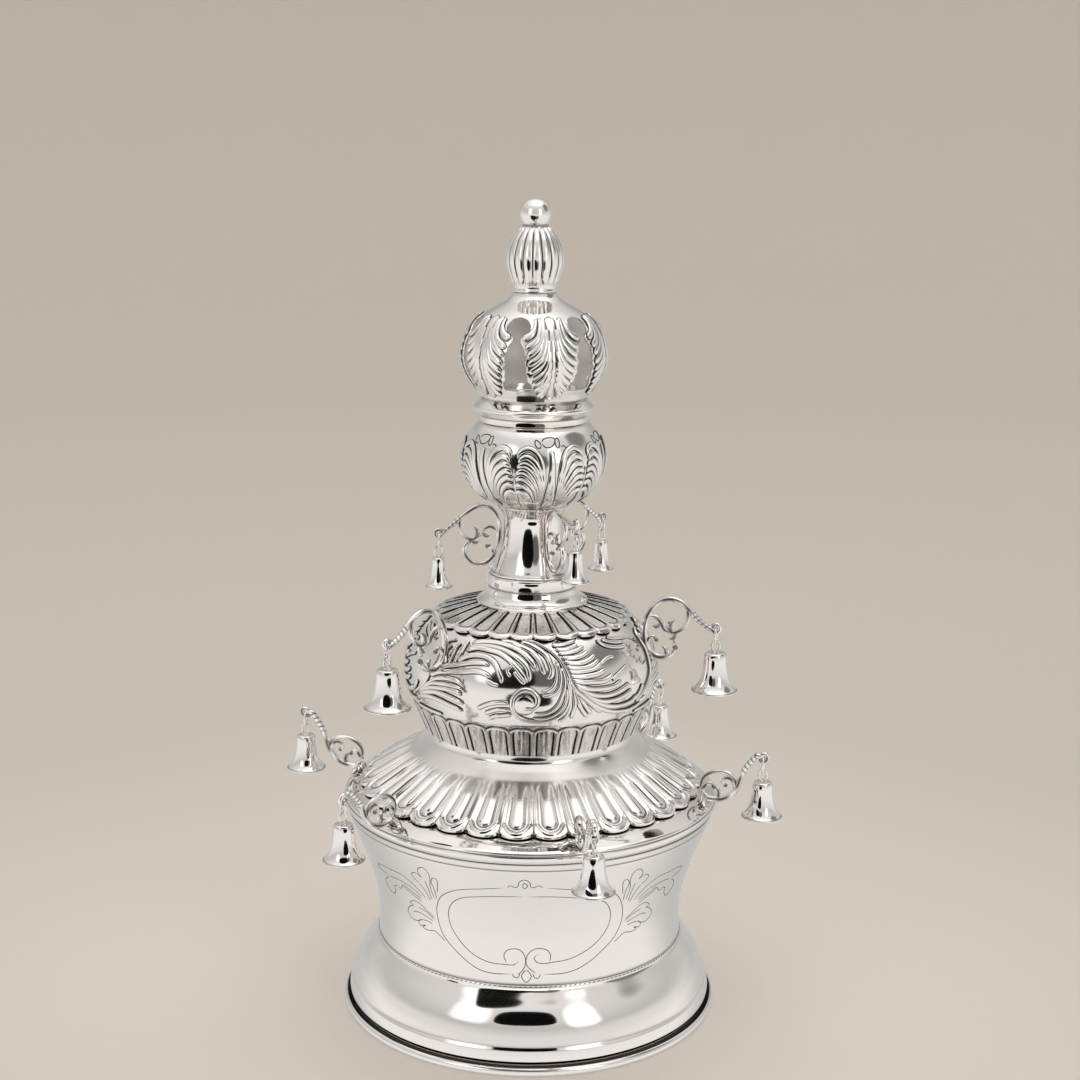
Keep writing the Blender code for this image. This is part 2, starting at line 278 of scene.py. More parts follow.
def silver(name, colour, roughness):
    """Sterling silver. Its dark lines are oxide left in the chased recesses, and some of its dark
    marks
    are painted shade and painted reflection: the point attribute oxide_and_shade turns the colour
    from silver to oxide and the surface from polished to dull. Where it is negative it does only
    the second, for silver left matt."""
    material, tree = new_material(name)
    shader = tree.nodes["Principled BSDF"]
    shader.inputs["Metallic"].default_value = 1
    shader.inputs["Base Color"].default_value = linear(colour)
    shader.inputs["Roughness"].default_value = roughness
    oxide_and_shade = add_node(tree, "ShaderNodeAttribute", {"attribute_name": "oxide_and_shade"}).outputs["Fac"]
    colours = {"data_type": "RGBA", 6: linear(colour), 7: linear(OXIDE)}
    mix = add_node(tree, "ShaderNodeMix", colours, [(0, oxide_and_shade)])
    tree.links.new(shader.inputs["Base Color"], mix.outputs[2])
    amount = add_maths(tree, "ABSOLUTE", oxide_and_shade)
    reach = {"To Min": roughness, "To Max": 0.5}
    dull = add_node(tree, "ShaderNodeMapRange", reach, [("Value", amount)])
    tree.links.new(shader.inputs["Roughness"], dull.outputs["Result"])
    return material


OXIDE = "#121211"
# Mirror-polished sterling sheet and castings: they show the studio almost sharply.
POLISHED = silver("polished_silver", "#F4EFEA", 0.06)
# Chased and fluted sheet, polished over the work: a little softer, with oxide in the lines.
CHASED = silver("chased_silver", "#F2EDE8", 0.11)
# Cast and milled arms: softer edges than the sheet, and darker in places, partly oxide and partly
# painted reflection and painted shade.
CAST = silver("cast_silver", "#FDF8F3", 0.14)
# The inside of the bulb, left as spun: satin, so it glows softly without showing shapes.
SATIN = silver("satin_silver", "#FDFAF8", 0.42)
# Bright-cut engraving, drawn as raised strips: its grey is painted shade standing for the cut's
# walls.
ENGRAVED_SHADE = silver("engraved_painted_shade", "#6F6E6C", 0.45)


def put(name, data):
    """An object in the scene."""
    obj = bpy.data.objects.new(name, data)
    bpy.context.scene.collection.objects.link(obj)
    return obj


def piece(name, shape, material, slot, *nodes):
    """Makes a shape a mesh object that rides on the crown and stands for its CAD nodes. Quads with
    two equal corners become triangles, or nothing where both pairs are equal."""
    points, quads, oxide_and_shade = shape
    foot, head = quads[:, 0] == quads[:, 1], quads[:, 2] == quads[:, 3]
    triangles = np.concatenate([quads[foot][:, [0, 2, 3]], quads[head & ~foot][:, [0, 1, 2]]])
    quads = quads[~foot & ~head]
    used, corners = np.unique(np.append(quads, triangles), return_inverse=True)
    sizes = np.repeat([4, 3], [len(quads), len(triangles)])
    mesh = bpy.data.meshes.new(name)
    mesh.vertices.add(len(used))
    mesh.vertices.foreach_set("co", (points[used] * MM).astype(np.float32).ravel())
    mesh.loops.add(len(corners))
    mesh.loops.foreach_set("vertex_index", corners.astype(np.int32))
    mesh.polygons.add(len(sizes))
    mesh.polygons.foreach_set("loop_start", (np.cumsum(sizes) - sizes).astype(np.int32))
    mesh.update(calc_edges=True)
    mesh.validate()
    attribute = mesh.attributes.new("oxide_and_shade", "FLOAT", "POINT")
    attribute.data.foreach_set("value", np.clip(oxide_and_shade[used], -1, 1).astype(np.float32))
    mesh.materials.append(material)
    mesh.shade_smooth()
    mesh.set_sharp_from_angle(angle=np.radians(SHARP_EDGE))
    obj = put(name, mesh)
    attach(obj, "root")
    if nodes:
        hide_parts(*nodes)
    return obj


def steps(count):
    """Even azimuths round the axis."""
    return np.arange(count) * 360 / count


def both_signs(values):
    """The values and their negatives in order."""
    return sorted({*values, *(-value for value in values)})


def wave_steps(waves, crest, phases):
    """Azimuths round the axis with the same phases, from -1 to 1, in every wave round its crest."""
    step = 360 / waves
    return (crest + step * (np.arange(waves)[:, None] + np.asarray(phases)[None] / 2)).ravel()


def across_wave(azimuths, waves, crest, radius):
    """How far each point of a row is from its wave's crest, and half a wave's width, in mm."""
    step = 360 / waves
    off = (azimuths - crest + step / 2) % step - step / 2
    return np.radians(off)[None] * radius[:, None], np.radians(step / 2) * radius[:, None]


def turning(name, node, profile, dark, count, ring=False, chased=False):
    """A plain turned piece of count columns, with a tarnish for each row of its profile."""
    shape = lathe(profile, steps(count), oxide_and_shade=dark[:, None], ring=ring)
    if chased:
        return piece(name, shape, CHASED, "chased_silver", node)
    return piece(name, shape, POLISHED, "polished_silver", node)


def ring_lines(profile, *cuts):
    """Dark lines round a profile: dark exp(-((z - at) / width)^2), added up over the cuts."""
    return sum(dark * bump(profile[:, 1], at, width) for at, dark, width in cuts)


def scalloped(name, node, parts, azimuths, relief, dark, scallop, reach, climbs):
    """A turned sheet with a scalloped lower edge. parts are its underside, its top, which has the
    relief and the tarnish, and its inner side. A scallop (depth, f, x, half) draws the edge in by
    depth (1 - sqrt(1 - (f x / half)^2)) over its greatest value, and the top follows it over reach.
    What is drawn in also climbs, by the share for the underside or the top."""
    first, top = len(parts[0]), len(parts[1])
    profile = np.vstack(parts)
    rows = np.arange(len(profile))
    points, quads, oxide_and_shade = lathe(
        profile, azimuths, full_rows(relief, profile, first), full_rows(dark, profile, first))
    points, oxide_and_shade = points.reshape(len(rows), -1, 3), oxide_and_shade.reshape(len(rows), -1).copy()
    # The underside is painted black all over: painted shade under the scalloped lip.
    oxide_and_shade[1 : first - 1] = 1
    depth, full, x, half = scallop
    arc = 1 - np.sqrt(np.clip(1 - (full * x[:1] / half[:1]) ** 2, 0, 1))
    edge = depth * arc / (1 - np.sqrt(1 - full**2))
    pull = np.zeros(oxide_and_shade.shape)
    pull[first : first + top] = edge * np.clip(1 - lengths(parts[1])[:, None] / reach, 0, 1)
    pull[1:first] = edge
    points[..., :2] *= (1 - pull / np.hypot(points[..., 0], points[..., 1]))[..., None]
    points[..., 2] += pull * np.where(rows < first, *climbs)[:, None]
    piece(name, (points.reshape(-1, 3), quads, oxide_and_shade.ravel()), CHASED, "chased_silver", node)


# ---------------------------------------------------------------- the drums


def foot_ring():
    """The rolled rim: a bead with a flat underside, and the groove between it and the drum, painted
    black as shade.
    """
    bead = smooth([(94.6, 0), (95.9, 0.5), (96.6, 1.7), (96.5, 2.9), (95.7, 3.9), (94.9, 4.2)], 24)
    outer = np.vstack([[(91.6, 0)], bead, [(94.4, 4), (91.8, 3.9), (91.6, 3.8)]])
    # The rows past the bead, in the groove, are painted black: painted shade in the gap.
    dark = np.arange(len(outer)) >= len(bead)
    turning("foot_rim", "foot_ring", outer, dark, 240, ring=True)


LOWER_OUTER = np.vstack([
    smooth([(92.3, 4.7), (92.3, 5.4), (92.5, 5.9)], 4),
    smooth([(93.4, 6.2), (93.6, 6.8), (93.5, 8.6), (93.2, 10.2), (92.95, 11.4)], 13),
    smooth([(92.85, 11.65), (92.4, 12.3), (91.95, 12.95)], 5),
    smooth([(91.8, 13.3), (90.4, 18.6), (88.6, 23.2), (85.6, 28), (81.6, 33.2), (79.3, 36.2)], 34),
    smooth([(78.9, 36.6), (78.5, 37), (78.7, 37.5), (78.3, 38), (78.5, 38.6), (78.1, 39.2)], 8),
    smooth([
        (78, 40.4), (77.8, 49), (78.6, 60), (81, 70), (84.5, 81), (89.5, 94), (92.9, 102.8)], 46),
    smooth([(93, 103.4), (93.3, 103.7), (93.9, 105.4), (94.3, 106.8)], 6),
    smooth([(94.1, 107), (94.3, 107.4), (95.2, 108.6), (95.5, 110), (95.3, 111.2)], 9),
    smooth([(95, 111.45), (95.1, 111.75), (95, 112.4), (94.4, 113)], 6),
    smooth([(93.2, 113.5), (90, 114.9), (86.6, 116.1), (82.4, 116.9)], 8),
])
WAIST_LINE = 37.6  # height of the wriggled line


def lower_drum():
    """The waisted drum with its ring lines and the sloping ledge that the shoulder stands on."""
    ledge = [(80.6, 116.6), (81, 115.6), (92.4, 111.6)]
    inner = smooth([
        (92.2, 104.6), (88.1, 93.6), (83.2, 81), (79.6, 70), (77.3, 60), (76.6, 49), (77, 37.4),
        (84.4, 27.4), (89.2, 18.6), (92.1, 4.7)], 18)
    profile = np.vstack([LOWER_OUTER, ledge, inner])
    cuts = [(at, 0.85, 0.28) for at in (38.9, 103.45, 107, 111.5)]
    # Below 6.1 mm the drum is painted black too: painted shade in the gap behind the foot ring.
    dark = ring_lines(profile, *cuts, (13.1, 0.3, 0.2)) + (profile[:, 1] < 6.1)
    dark[len(LOWER_OUTER) :] = 0
    turning("waisted_drum", "lower_drum", profile, dark, 224, ring=True)


# The engraving on the front of the lower drum. The cartouche and its middle are whole, and the left
# spray is repeated in mirror on the right.
CARTOUCHE = (
    ((-7, 93.3), (-13.2, 91.8), (-21.2, 89.5), (-26.3, 86.4), (-30.2, 82), (-32.6, 76),
     (-33.4, 69.6), (-33, 63), (-31.3, 57.9), (-27.6, 53.2), (-23.6, 49), (-19, 45.5), (-14, 44),
     (-9.4, 44.1), (-5.4, 44.4)),
    ((4.2, 93.6), (10.4, 92.4), (18.4, 90.2), (27, 86.6), (30.6, 82.2), (32.8, 76.2), (33.8, 69.4),
     (33.2, 63.3), (31.2, 58.3), (27, 53.4), (22.8, 49.2), (17.8, 45.9), (13, 44.4), (8.2, 44.3),
     (4.2, 44.5)),
    ((-1.2, 88.4), (-10.8, 87.6), (-19.5, 85.4), (-23.5, 83.1), (-26.3, 79.6), (-28.1, 74.9),
     (-28.6, 69.1), (-27.7, 63.5), (-25, 58), (-21.6, 53.7), (-17.3, 50.6), (-12.8, 49.2),
     (-8.8, 49.1), (-6, 48.9), (-4.4, 49.8), (-3.6, 52.2)),
    ((-1.2, 88.4), (8.2, 88), (17, 85.8), (24, 82.6), (26.9, 78.8), (28.5, 73.6), (28.6, 67.4),
     (26.5, 61.2), (22.5, 56.3), (17.8, 53), (13, 51.1), (8.6, 50.5), (6, 50), (3.4, 50.1),
     (1.8, 52.4), (2.7, 54.7), (4.6, 54.6)),
    ((-8, 50), (-8.9, 53.6), (-7.8, 56.6), (-5.2, 57.7), (-2.9, 56.8), (-1.5, 54), (-1.2, 50.2),
     (-1.9, 47.1), (-3.2, 44.9), (-4.5, 44.5)),
    ((7.4, 50.8), (7.7, 54), (6.5, 56.9), (3.8, 58.1), (1.2, 57.2), (-0.6, 54.2), (-1, 50.3),
     (-0.1, 47.8), (1.5, 46), (2.8, 44.7)),
    ((-1, 46.9), (-2.4, 44.4), (-2.4, 42.6), (-0.9, 40.3), (0.7, 42.6), (0.6, 44.6), (-1, 46.9)),
    ((-5.8, 44.4), (-5.2, 42.9), (-3.9, 42.7), (-3.1, 44.9)),
    ((1.4, 44.9), (2, 42.8), (3.4, 42.6), (4.2, 44.5)),
    ((-7, 93.3), (-5.8, 94.7), (-4.5, 93.8), (-3.6, 94.2), (-3, 97.2), (-1.5, 98.4), (0, 97),
     (0.4, 94.2), (1.5, 94), (2.8, 95), (4.2, 93.6)),
    ((-2.3, 94.6), (-1.5, 96.4), (-0.6, 94.7), (-1.5, 93.2), (-2.3, 94.6)),
)
SPRAY = (
    ((-32, 79.8), (-32, 85.6), (-32.5, 89.8), (-31.4, 92.7), (-30, 92.2), (-30.3, 88.7),
     (-31.2, 84)),
    ((-33, 80), (-33.5, 86.2), (-32.6, 91.8), (-32.8, 95.5), (-34.2, 97.6), (-36.2, 96.4),
     (-36.9, 93.6), (-35.8, 91)),
    ((-35.8, 91), (-37.5, 92.6), (-39.2, 92.6), (-40.2, 90.8), (-39.2, 88.7), (-37.8, 87.1)),
    ((-35, 78), (-36.2, 83.1), (-37.8, 87.1)), ((-34.2, 79), (-34.6, 84.4), (-35, 89.4)),
    ((-36.5, 78), (-39.2, 82.5), (-42.4, 86.2), (-46.2, 88.3), (-51.2, 88.1), (-56.8, 87.7),
     (-60.8, 85.8), (-60.2, 84), (-56.8, 83.4), (-55, 81.9)),
    ((-55, 81.9), (-58, 79.2), (-58.8, 75.7), (-57, 72.8), (-54.8, 72.6), (-53, 75.5), (-52.8, 78),
     (-50.5, 79.4)),
    ((-50.5, 79.4), (-48.8, 78.6), (-47, 81.3), (-45.6, 79.6), (-44.2, 79), (-42, 77.3),
     (-39.2, 75.5)),
    ((-38.4, 78.4), (-43, 82.6), (-48.6, 83.8), (-53.8, 83)),
    ((-39, 77.2), (-43.4, 79.9), (-46.4, 82.3)),
    ((-34.8, 68), (-37.8, 71.1), (-40.4, 73.8), (-43.4, 74.2), (-45.7, 72), (-43.8, 71.2)),
    ((-43.8, 71.2), (-46.8, 69.3), (-48.4, 65.8), (-47.2, 62.9), (-44, 62.5), (-41.2, 64.5)),
    ((-41.2, 64.5), (-43.2, 62.9), (-42.8, 60.6), (-39.8, 61.8)),
    ((-39.8, 61.8), (-41.4, 60), (-39, 59.4), (-35.5, 60), (-31.4, 56.2)),
    ((-35.8, 65.8), (-39, 67.4), (-42.5, 68.2), (-45.2, 67.2)),
    ((-36.5, 63.9), (-38.8, 64.7), (-41.2, 64.3)), ((-34.9, 67), (-38, 69.9), (-41.6, 71.4)),
)
SPRAY_MIRROR = 0.2  # azimuth of the mirror between the two sprays


def engraving():
    """The blank cartouche between two sprays, and the wriggled line round the waist: 200 dashes
    that each climb by 0.7 mm."""
    spray = [np.array(stroke) for stroke in SPRAY]
    mirrored_spray = [stroke * (-1, 1) + (2 * SPRAY_MIRROR, 0) for stroke in spray]
    cut = lines(LOWER_OUTER, [*CARTOUCHE, *spray, *mirrored_spray])
    start = steps(200)[:, None]
    dash = np.linspace(0, 1, 5)[None]
    path = np.stack([start + 1.25 * dash, WAIST_LINE + 0.7 * dash + 0 * start], -1)
    taper = np.array([0, 0.9, 1, 0.9, 0])[None]
    wriggle = swept(*on_turned(LOWER_OUTER, path), 0.22 * taper, 0.12 * taper, 0.05 * taper, 6)
    # The engraved strips take the grey of painted shade.
    piece("bright_cut_lines", joined(cut, wriggle), ENGRAVED_SHADE, "polished_silver")


ROOF_EDGE, ROOF_CREASE, ROOF_SLOPE = (87.2, 117.8), (50.9, 140.1), 42.6
ROOF_SIDE = (
    0.04, 0.14, 0.26, 0.34, 0.4, 0.44, 0.48, 0.52, 0.56, 0.62, 0.69, 0.76, 0.83, 0.9, 0.95, 1)
ROOF_ROWS = ((0, 3, 6), (3, 10.4, 25), (10.4, 24, 8))  # (from, to, steps) up the slope
# A finger's straight sides start and end at two distances up the slope. Its own round ends and
# its frame's have a length below and one above.
FINGER_NEAR, FINGER_FAR = 8.6, 28.4
FINGER_ENDS, FRAME_ENDS = (3.9, 4.6), (8.6, 7)
FINGER_RISE, FRAME_RISE, CREASE_DEPTH = 1.4, 0.75, 0.4


def fluted_shoulder():
    """The roof: 32 raised fingers, each in a frame with a scalloped lower edge, below the cove that
    the upper drum stands in. A finger is a round ridge h (1 - rho^2)^0.55, rho being the distance
    from its spine over its half width, and both of its ends are half ellipses. The fingers fade
    out towards the cove, which is left a little matt."""
    azimuths = wave_steps(FLUTES, FLUTE_CREST, both_signs(ROOF_SIDE)[1:])
    low = [(82.6, 116.9), (86.4, 116.5), (86.9, 116.5), (87.3, 117)]
    rows = [np.linspace(*ends, endpoint=False) for ends in ROOF_ROWS]
    share = np.concatenate([*rows, np.linspace(24, 34, 12)])[:, None] / ROOF_SLOPE
    slope = np.array(ROOF_EDGE) * (1 - share) + np.array(ROOF_CREASE) * share
    slope[:, 1] -= 0.6 * np.sin(np.pi * share[:, 0])
    cove = [(56.6, 136.6), (54.3, 138.7), (52.6, 140.6), (51.5, 142), (51, 143.5), (50.9, 145)]
    slope = np.vstack([slope, smooth([slope[-1], *cove], 18)[1:]])
    inner = np.linspace((50, 138.6), (80.8, 118.4), 8)
    inner = np.vstack([[(50.7, 145.2), (50.6, 144.8), (50.6, 140.2)], inner])
    x, half = across_wave(azimuths, FLUTES, FLUTE_CREST, slope[:, 0])
    along = lengths(slope)[:, None]
    width = 0.47 * half
    before, after = FINGER_NEAR - along, np.maximum(along - FINGER_FAR, 0)
    ends, frame_ends = (
        np.where(before > 0, before / low_end, after / top_end) ** 2
        for low_end, top_end in (FINGER_ENDS, FRAME_ENDS))
    rho = np.sqrt((x / width) ** 2 + ends)
    fade = np.clip((FINGER_FAR + 5 - along) / 11, 0, 1)
    finger = FINGER_RISE * np.clip(1 - rho**2, 0, 1) ** 0.55 * fade
    rim = FRAME_RISE * bump(np.sqrt((x / half) ** 2 + frame_ends), 0.8, 0.1) * fade
    crease = -CREASE_DEPTH * bump(np.abs(x), half, 0.5) * fade
    low_end = np.clip(1.5 - along / 9, 0, 1)
    outline = np.clip(1.4 * bump((rho - 1.07) * width, 0, 0.24), 0, 1)
    between = bump(half - np.abs(x), 0, 0.24)
    dark = np.maximum((0.55 + 0.45 * low_end) * outline, (0.4 + 0.5 * low_end) * between) * fade
    matt = 0.45 * np.clip((along - 15) / 9, 0, 1) * np.clip((43 - along) / 4, 0, 1)
    scalloped(
        "fluted_roof", "fluted_shoulder", (low, slope, inner), azimuths, finger + rim + crease,
        np.where(dark > matt, dark, -matt), scallop=(3.6, 0.97, x, half), reach=14,
        climbs=(0.34, 0.62))


UPPER_COVE = smooth([(50.3, 140.4), (50.3, 142.6), (50.4, 145.2), (51.6, 145.7), (52.9, 145.9)], 9)
UPPER_TONGUES = smooth(
    [(53.2, 146.1), (54.6, 149.6), (56.6, 154.6), (59, 159.8), (60.3, 162.8)], 38)
UPPER_BULGE = smooth([
    (60.5, 163.2), (62.2, 168.4), (63.3, 173.4), (63.4, 178.2), (62.5, 184.2), (60.2, 189.8),
    (56.6, 195.4), (51.9, 200.4), (47.2, 203.9)], 34)
TONGUE_SIDE = (0, 0.2, 0.38, 0.5, 0.58, 0.64, 0.7, 0.76, 0.82, 0.9, 1)
TONGUE_FOOT, TONGUE_TOP = 146.2, 162.5
TONGUE_RISE, TONGUE_BULGE, RIDGE_RISE = 0.25, 0.3, 0.7


def upper_drum():
    """Cove, 32 round-topped tongues between pairs of fine ridges, and the bulge. A tongue is higher
    in its middle by 0.3 (1 - (x / half)^2), and its streaks are brush marks left in the finish."""
    azimuths = wave_steps(TONGUES, TONGUE_CREST, both_signs(TONGUE_SIDE)[:-1])
    inner = smooth([
        (46.6, 202.9), (54, 196.6), (60, 187.4), (62, 178), (60.6, 168), (54.4, 153), (50.2, 147),
        (49.3, 145), (49.2, 140.4)], 16)
    profile = np.vstack([UPPER_COVE, UPPER_TONGUES, UPPER_BULGE, inner])
    radius, height = UPPER_TONGUES.T
    rows = len(radius)
    x, half = across_wave(azimuths, TONGUES, TONGUE_CREST, radius)
    off = np.abs(x)
    height = height[:, None]
    top = TONGUE_TOP - 1.9 * (x / half) ** 2
    foot = np.clip((height - TONGUE_FOOT) / 0.8, 0, 1)
    below = np.clip((top - height) / 0.5, 0, 1)
    corner = np.clip((top - 0.9 - height) / 2.2, 0, 1)
    side_at = (0.7 - 0.12 * (1 - corner) ** 2) * half
    panel = TONGUE_BULGE * np.clip(1 - (x / half) ** 2, 0, 1)
    ridge = RIDGE_RISE * bump(off, half, 0.2 * half)
    relief = (TONGUE_RISE + panel + ridge) * foot * below
    dark = np.clip(1.8 * bump(off, side_at, 0.5), 0, 1) * np.clip((top - 0.6 - height) / 0.8, 0, 1)
    dark = np.maximum(dark, 1.2 * bump(height, top + 0.4, 0.65))
    streaks = np.random.default_rng(7).uniform(-0.5, 0.32, (5, len(azimuths)))
    inside = np.clip((side_at - off) / 0.4, 0, 1) * np.clip(top - 2.2 - height, 0, 1)
    grain = streaks[np.arange(rows) * 5 // rows] * inside
    dark = np.where(dark > np.abs(grain), dark, grain) * foot
    relief, dark = (full_rows(values, profile, len(UPPER_COVE)) for values in (relief, dark))
    shape = lathe(profile, azimuths, relief, dark)
    piece("bulging_drum", shape, CHASED, "chased_silver", "upper_drum")


# Acanthus on the bulge, for one third of it: leaves of (widest, rise, flutes), each flute a stroke
# from its root to its tip.
ACANTHUS = (
    (3, 1.4, (
        ((-61.8, 172.3), (-53, 178.4), (-47, 182.1), (-40.8, 183.7), (-35.5, 183.8), (-32, 182.2),
         (-29.8, 181)),
        ((-59.5, 173), (-50.5, 178.8), (-43.8, 180.4), (-38.5, 181), (-34, 180.7), (-30.8, 179.7)),
        ((-61, 171.4), (-51.2, 176.6), (-43.8, 178.2), (-38.2, 178.7), (-33.8, 178.4),
         (-31.3, 176.8)),
        ((-60, 171.4), (-49.8, 175), (-43.8, 175.7), (-38.2, 175.2), (-33.8, 174.1), (-30.2, 173)),
        ((-63.2, 168.9), (-52, 172), (-44.8, 172.1), (-39.5, 171.2), (-35, 170.1), (-31.3, 169)),
    )),
    (3, 1.4, (
        ((-51.5, 182.7), (-45.8, 185.5), (-38.5, 187.2), (-32, 188.1), (-26, 189.2), (-21, 188.6),
         (-17.8, 186.8)),
        ((-48.5, 185.9), (-42, 189.1), (-36.5, 190.5), (-31.3, 192), (-26, 192.9), (-22, 192.9),
         (-19.8, 191.8)),
    )),
    (3.3, 1.6, (
        ((-37, 191.7), (-33.5, 194.3), (-28.5, 195.7), (-23, 195.7), (-18.8, 194.4), (-16.2, 192),
         (-14.5, 189.3), (-13.2, 186.8), (-13.5, 184.7)),
        ((-35, 196.8), (-28.8, 198.6), (-21.8, 198.4), (-16, 197.6), (-11.5, 195.7), (-8.2, 193.4),
         (-5.2, 190.6), (-2.5, 187.2), (-1.8, 185.4)),
        ((-34.8, 198.4), (-28.2, 199.7), (-21.5, 200), (-15.8, 199.4), (-11, 198.1), (-7.3, 196.5),
         (-4, 194.4), (-2, 192.4), (-1, 189.4), (-1, 185.9)),
        ((-33.5, 200), (-27, 201.2), (-20, 201.5), (-13.5, 200.9), (-8.2, 199.8), (-4, 198),
         (-0.8, 195.6), (1.2, 193.3), (2, 191.3)),
        ((-18, 202.2), (-10.2, 201.8), (-4.8, 200.4), (-0.2, 198.7), (2.8, 196.2), (4.5, 193.6),
         (5.2, 191.1), (6.5, 189)),
        ((-6.5, 202.3), (-1, 201.4), (3.7, 199.5), (7.3, 197), (8.8, 193.9), (9.5, 190.9),
         (8.5, 188.4), (6.5, 187.6)),
    )),
    (2.2, 1.3, (
        ((13.8, 192.5), (14.8, 187.7), (14.5, 183.2), (13.2, 179), (11.2, 175), (8.2, 172),
         (4.8, 170.9), (1.2, 171.5)),
        ((12.2, 194.6), (13, 190.4), (13, 186.5), (11.8, 182.9), (9.5, 180.5), (6.2, 179.8),
         (4.2, 180.4)),
        ((10.5, 195.5), (11.2, 190.9), (11, 187.1), (9.5, 183.9), (6.8, 182.1), (4.2, 182)),
        ((15.5, 183.1), (15.2, 177.9), (13.5, 173.7), (11, 170.8), (7.5, 168.8), (4, 168.3),
         (0.5, 168.9)),
    )),
    (2.5, 1.3, (
        ((17.5, 183.9), (17.5, 180.1), (17, 176.3), (16.5, 172.2), (14.8, 168.7), (12, 166.4)),
        ((18.2, 182.5), (18.8, 178.6), (19, 174.6), (18.5, 171), (17.8, 167.6)),
        ((19.2, 181.3), (20.2, 177.9), (21.5, 173.7), (23.5, 170.3), (25.8, 167.3)),
        ((19.8, 181.3), (22.5, 176.2), (25, 172.2), (27.5, 169)),
        ((20.2, 181.1), (24, 176.7), (27, 173.9), (30.2, 170.9), (32.8, 168.9)),
    )),
    (3, 1.5, (
        ((19, 183.3), (23.5, 179.3), (27.8, 175.7), (33.2, 172.7), (39.2, 170.8), (45.5, 170.3),
         (51, 171.3), (54, 174)),
        ((19.5, 183.2), (23, 180.4), (27.2, 177.3), (32.5, 174.8), (38, 174.2), (42.8, 174.7),
         (47.2, 175.9), (50, 177.8)),
        ((19, 184.2), (23.5, 180.9), (29.2, 178.3), (35, 177.3), (40.2, 177.7), (45.2, 179.1),
         (48.8, 181)),
        ((18.5, 185), (23.2, 182.7), (28.5, 181.3), (34.8, 180.8), (39.8, 181.2), (43.8, 183.1)),
        ((17.8, 186.6), (23, 185.2), (27.8, 184.7), (33, 184.3), (37, 185.3), (39.5, 187)),
        ((17.2, 188.4), (22.2, 187.6), (27.2, 187.5), (32, 188), (35.8, 189.4)),
        ((16.8, 190.4), (21.2, 189.7), (26.3, 189.7), (30.5, 190.3), (34.8, 192.3)),
        ((16, 192.4), (20.5, 191.5), (25.5, 191.3), (29.5, 192), (33.8, 193.8)),
        ((15.2, 194.5), (20, 193.5), (24.5, 193.4), (28.8, 194.4), (32.5, 195.9)),
        ((14.5, 196.1), (19.5, 195.7), (24.5, 196), (29.8, 197.6)),
        ((13.2, 197.8), (18.2, 197.9), (23.2, 198.4), (28, 199.8)),
        ((12.2, 199.4), (16.5, 199.3), (20.5, 199.7), (25, 200.6)),
        ((10.5, 201), (15.5, 201.1), (20.2, 201.5), (24.8, 202.2)),
    )),
    (2.6, 1.1, (
        ((-9.5, 176.2), (-13.5, 176.1), (-18, 175.1), (-22, 173), (-24, 171.3)),
        ((-9.2, 172.7), (-13.8, 172.5), (-17.8, 171.2), (-20.8, 169.4)),
        ((-8.5, 170.4), (-12.5, 169.4), (-16.2, 168.7), (-19, 167)),
    )),
)
# Flutes that stand alone.
CURLS = (
    ((-65.2, 164.2), (-55.2, 164.2), (-48.8, 164.2), (-44.5, 164.2)),
    ((-35.8, 200.8), (-36.5, 198.2), (-36.8, 194.8), (-38.5, 191.1)),
    ((-39.8, 199.4), (-41, 196.8), (-41, 193.3), (-41, 189.7)),
    ((-44.8, 197.9), (-46.2, 195.5), (-45.2, 192.5), (-43, 189.8)),
    ((-20.5, 186), (-18.5, 185.3), (-16.8, 184.5), (-14.3, 184.1)),
    ((-9.2, 192.9), (-10.8, 191.6), (-10.8, 190), (-9.2, 188.3)),
    ((-8, 190.5), (-6, 188.4), (-4.2, 186.5), (-2.5, 185.4)),
    ((37.2, 201.4), (39, 199.7), (42.2, 198.1), (48, 196.9), (54, 196.1)),
    ((40.8, 201.2), (43.8, 200), (48.5, 198.9), (55.5, 198)),
    ((45, 201.6), (48.5, 200.5), (52.8, 199.9), (58, 199.4)),
    ((34, 191.8), (36.8, 193.1), (39.8, 193.8), (43, 193.6)),
    ((38, 184), (41.8, 185.7), (46.2, 187.5), (50, 188.8)),
    ((52.5, 171.2), (56.5, 174.3), (59, 177.7)),
)
STEM = (
    (-9.5, 202.9), (-3.2, 202.7), (2.2, 201.9), (7.5, 199.9), (10.8, 197.9), (13.5, 195.4),
    (14.8, 192.8), (16, 190.3), (16.8, 187.2), (17.8, 184.3), (19.8, 181.3), (22.5, 178.7),
    (25.8, 175.5), (30.2, 172.2), (34.8, 169.7), (40.2, 167.9), (47.2, 166.7), (53.2, 167),
    (57.7, 168.1),
)
SCROLL = (
    (16.2, 187.6), (16.8, 183), (16.5, 178.8), (15.5, 174.4), (13.2, 170.3), (9.2, 167.9),
    (4.5, 166.8), (-0.5, 167.2), (-5, 169), (-7.8, 172.6), (-8.2, 176.2), (-7.5, 179.1),
    (-5.2, 181.7), (-2.8, 182.7), (0.2, 182), (2.5, 179.5), (2.5, 176.3), (0.8, 174), (-1.5, 174.2),
    (-3, 172.9),
)
LEFT_STEM = (
    (-66.5, 169.8), (-58.8, 174.7), (-54.5, 178.5), (-52.5, 182), (-51.5, 185.7), (-50.3, 189.2),
    (-49.5, 192.6), (-49.5, 195.7), (-48, 198.7), (-43.5, 200.1),
)
SCROLL_EYE = (-2.9, 175, 5)  # azimuth, height and radius


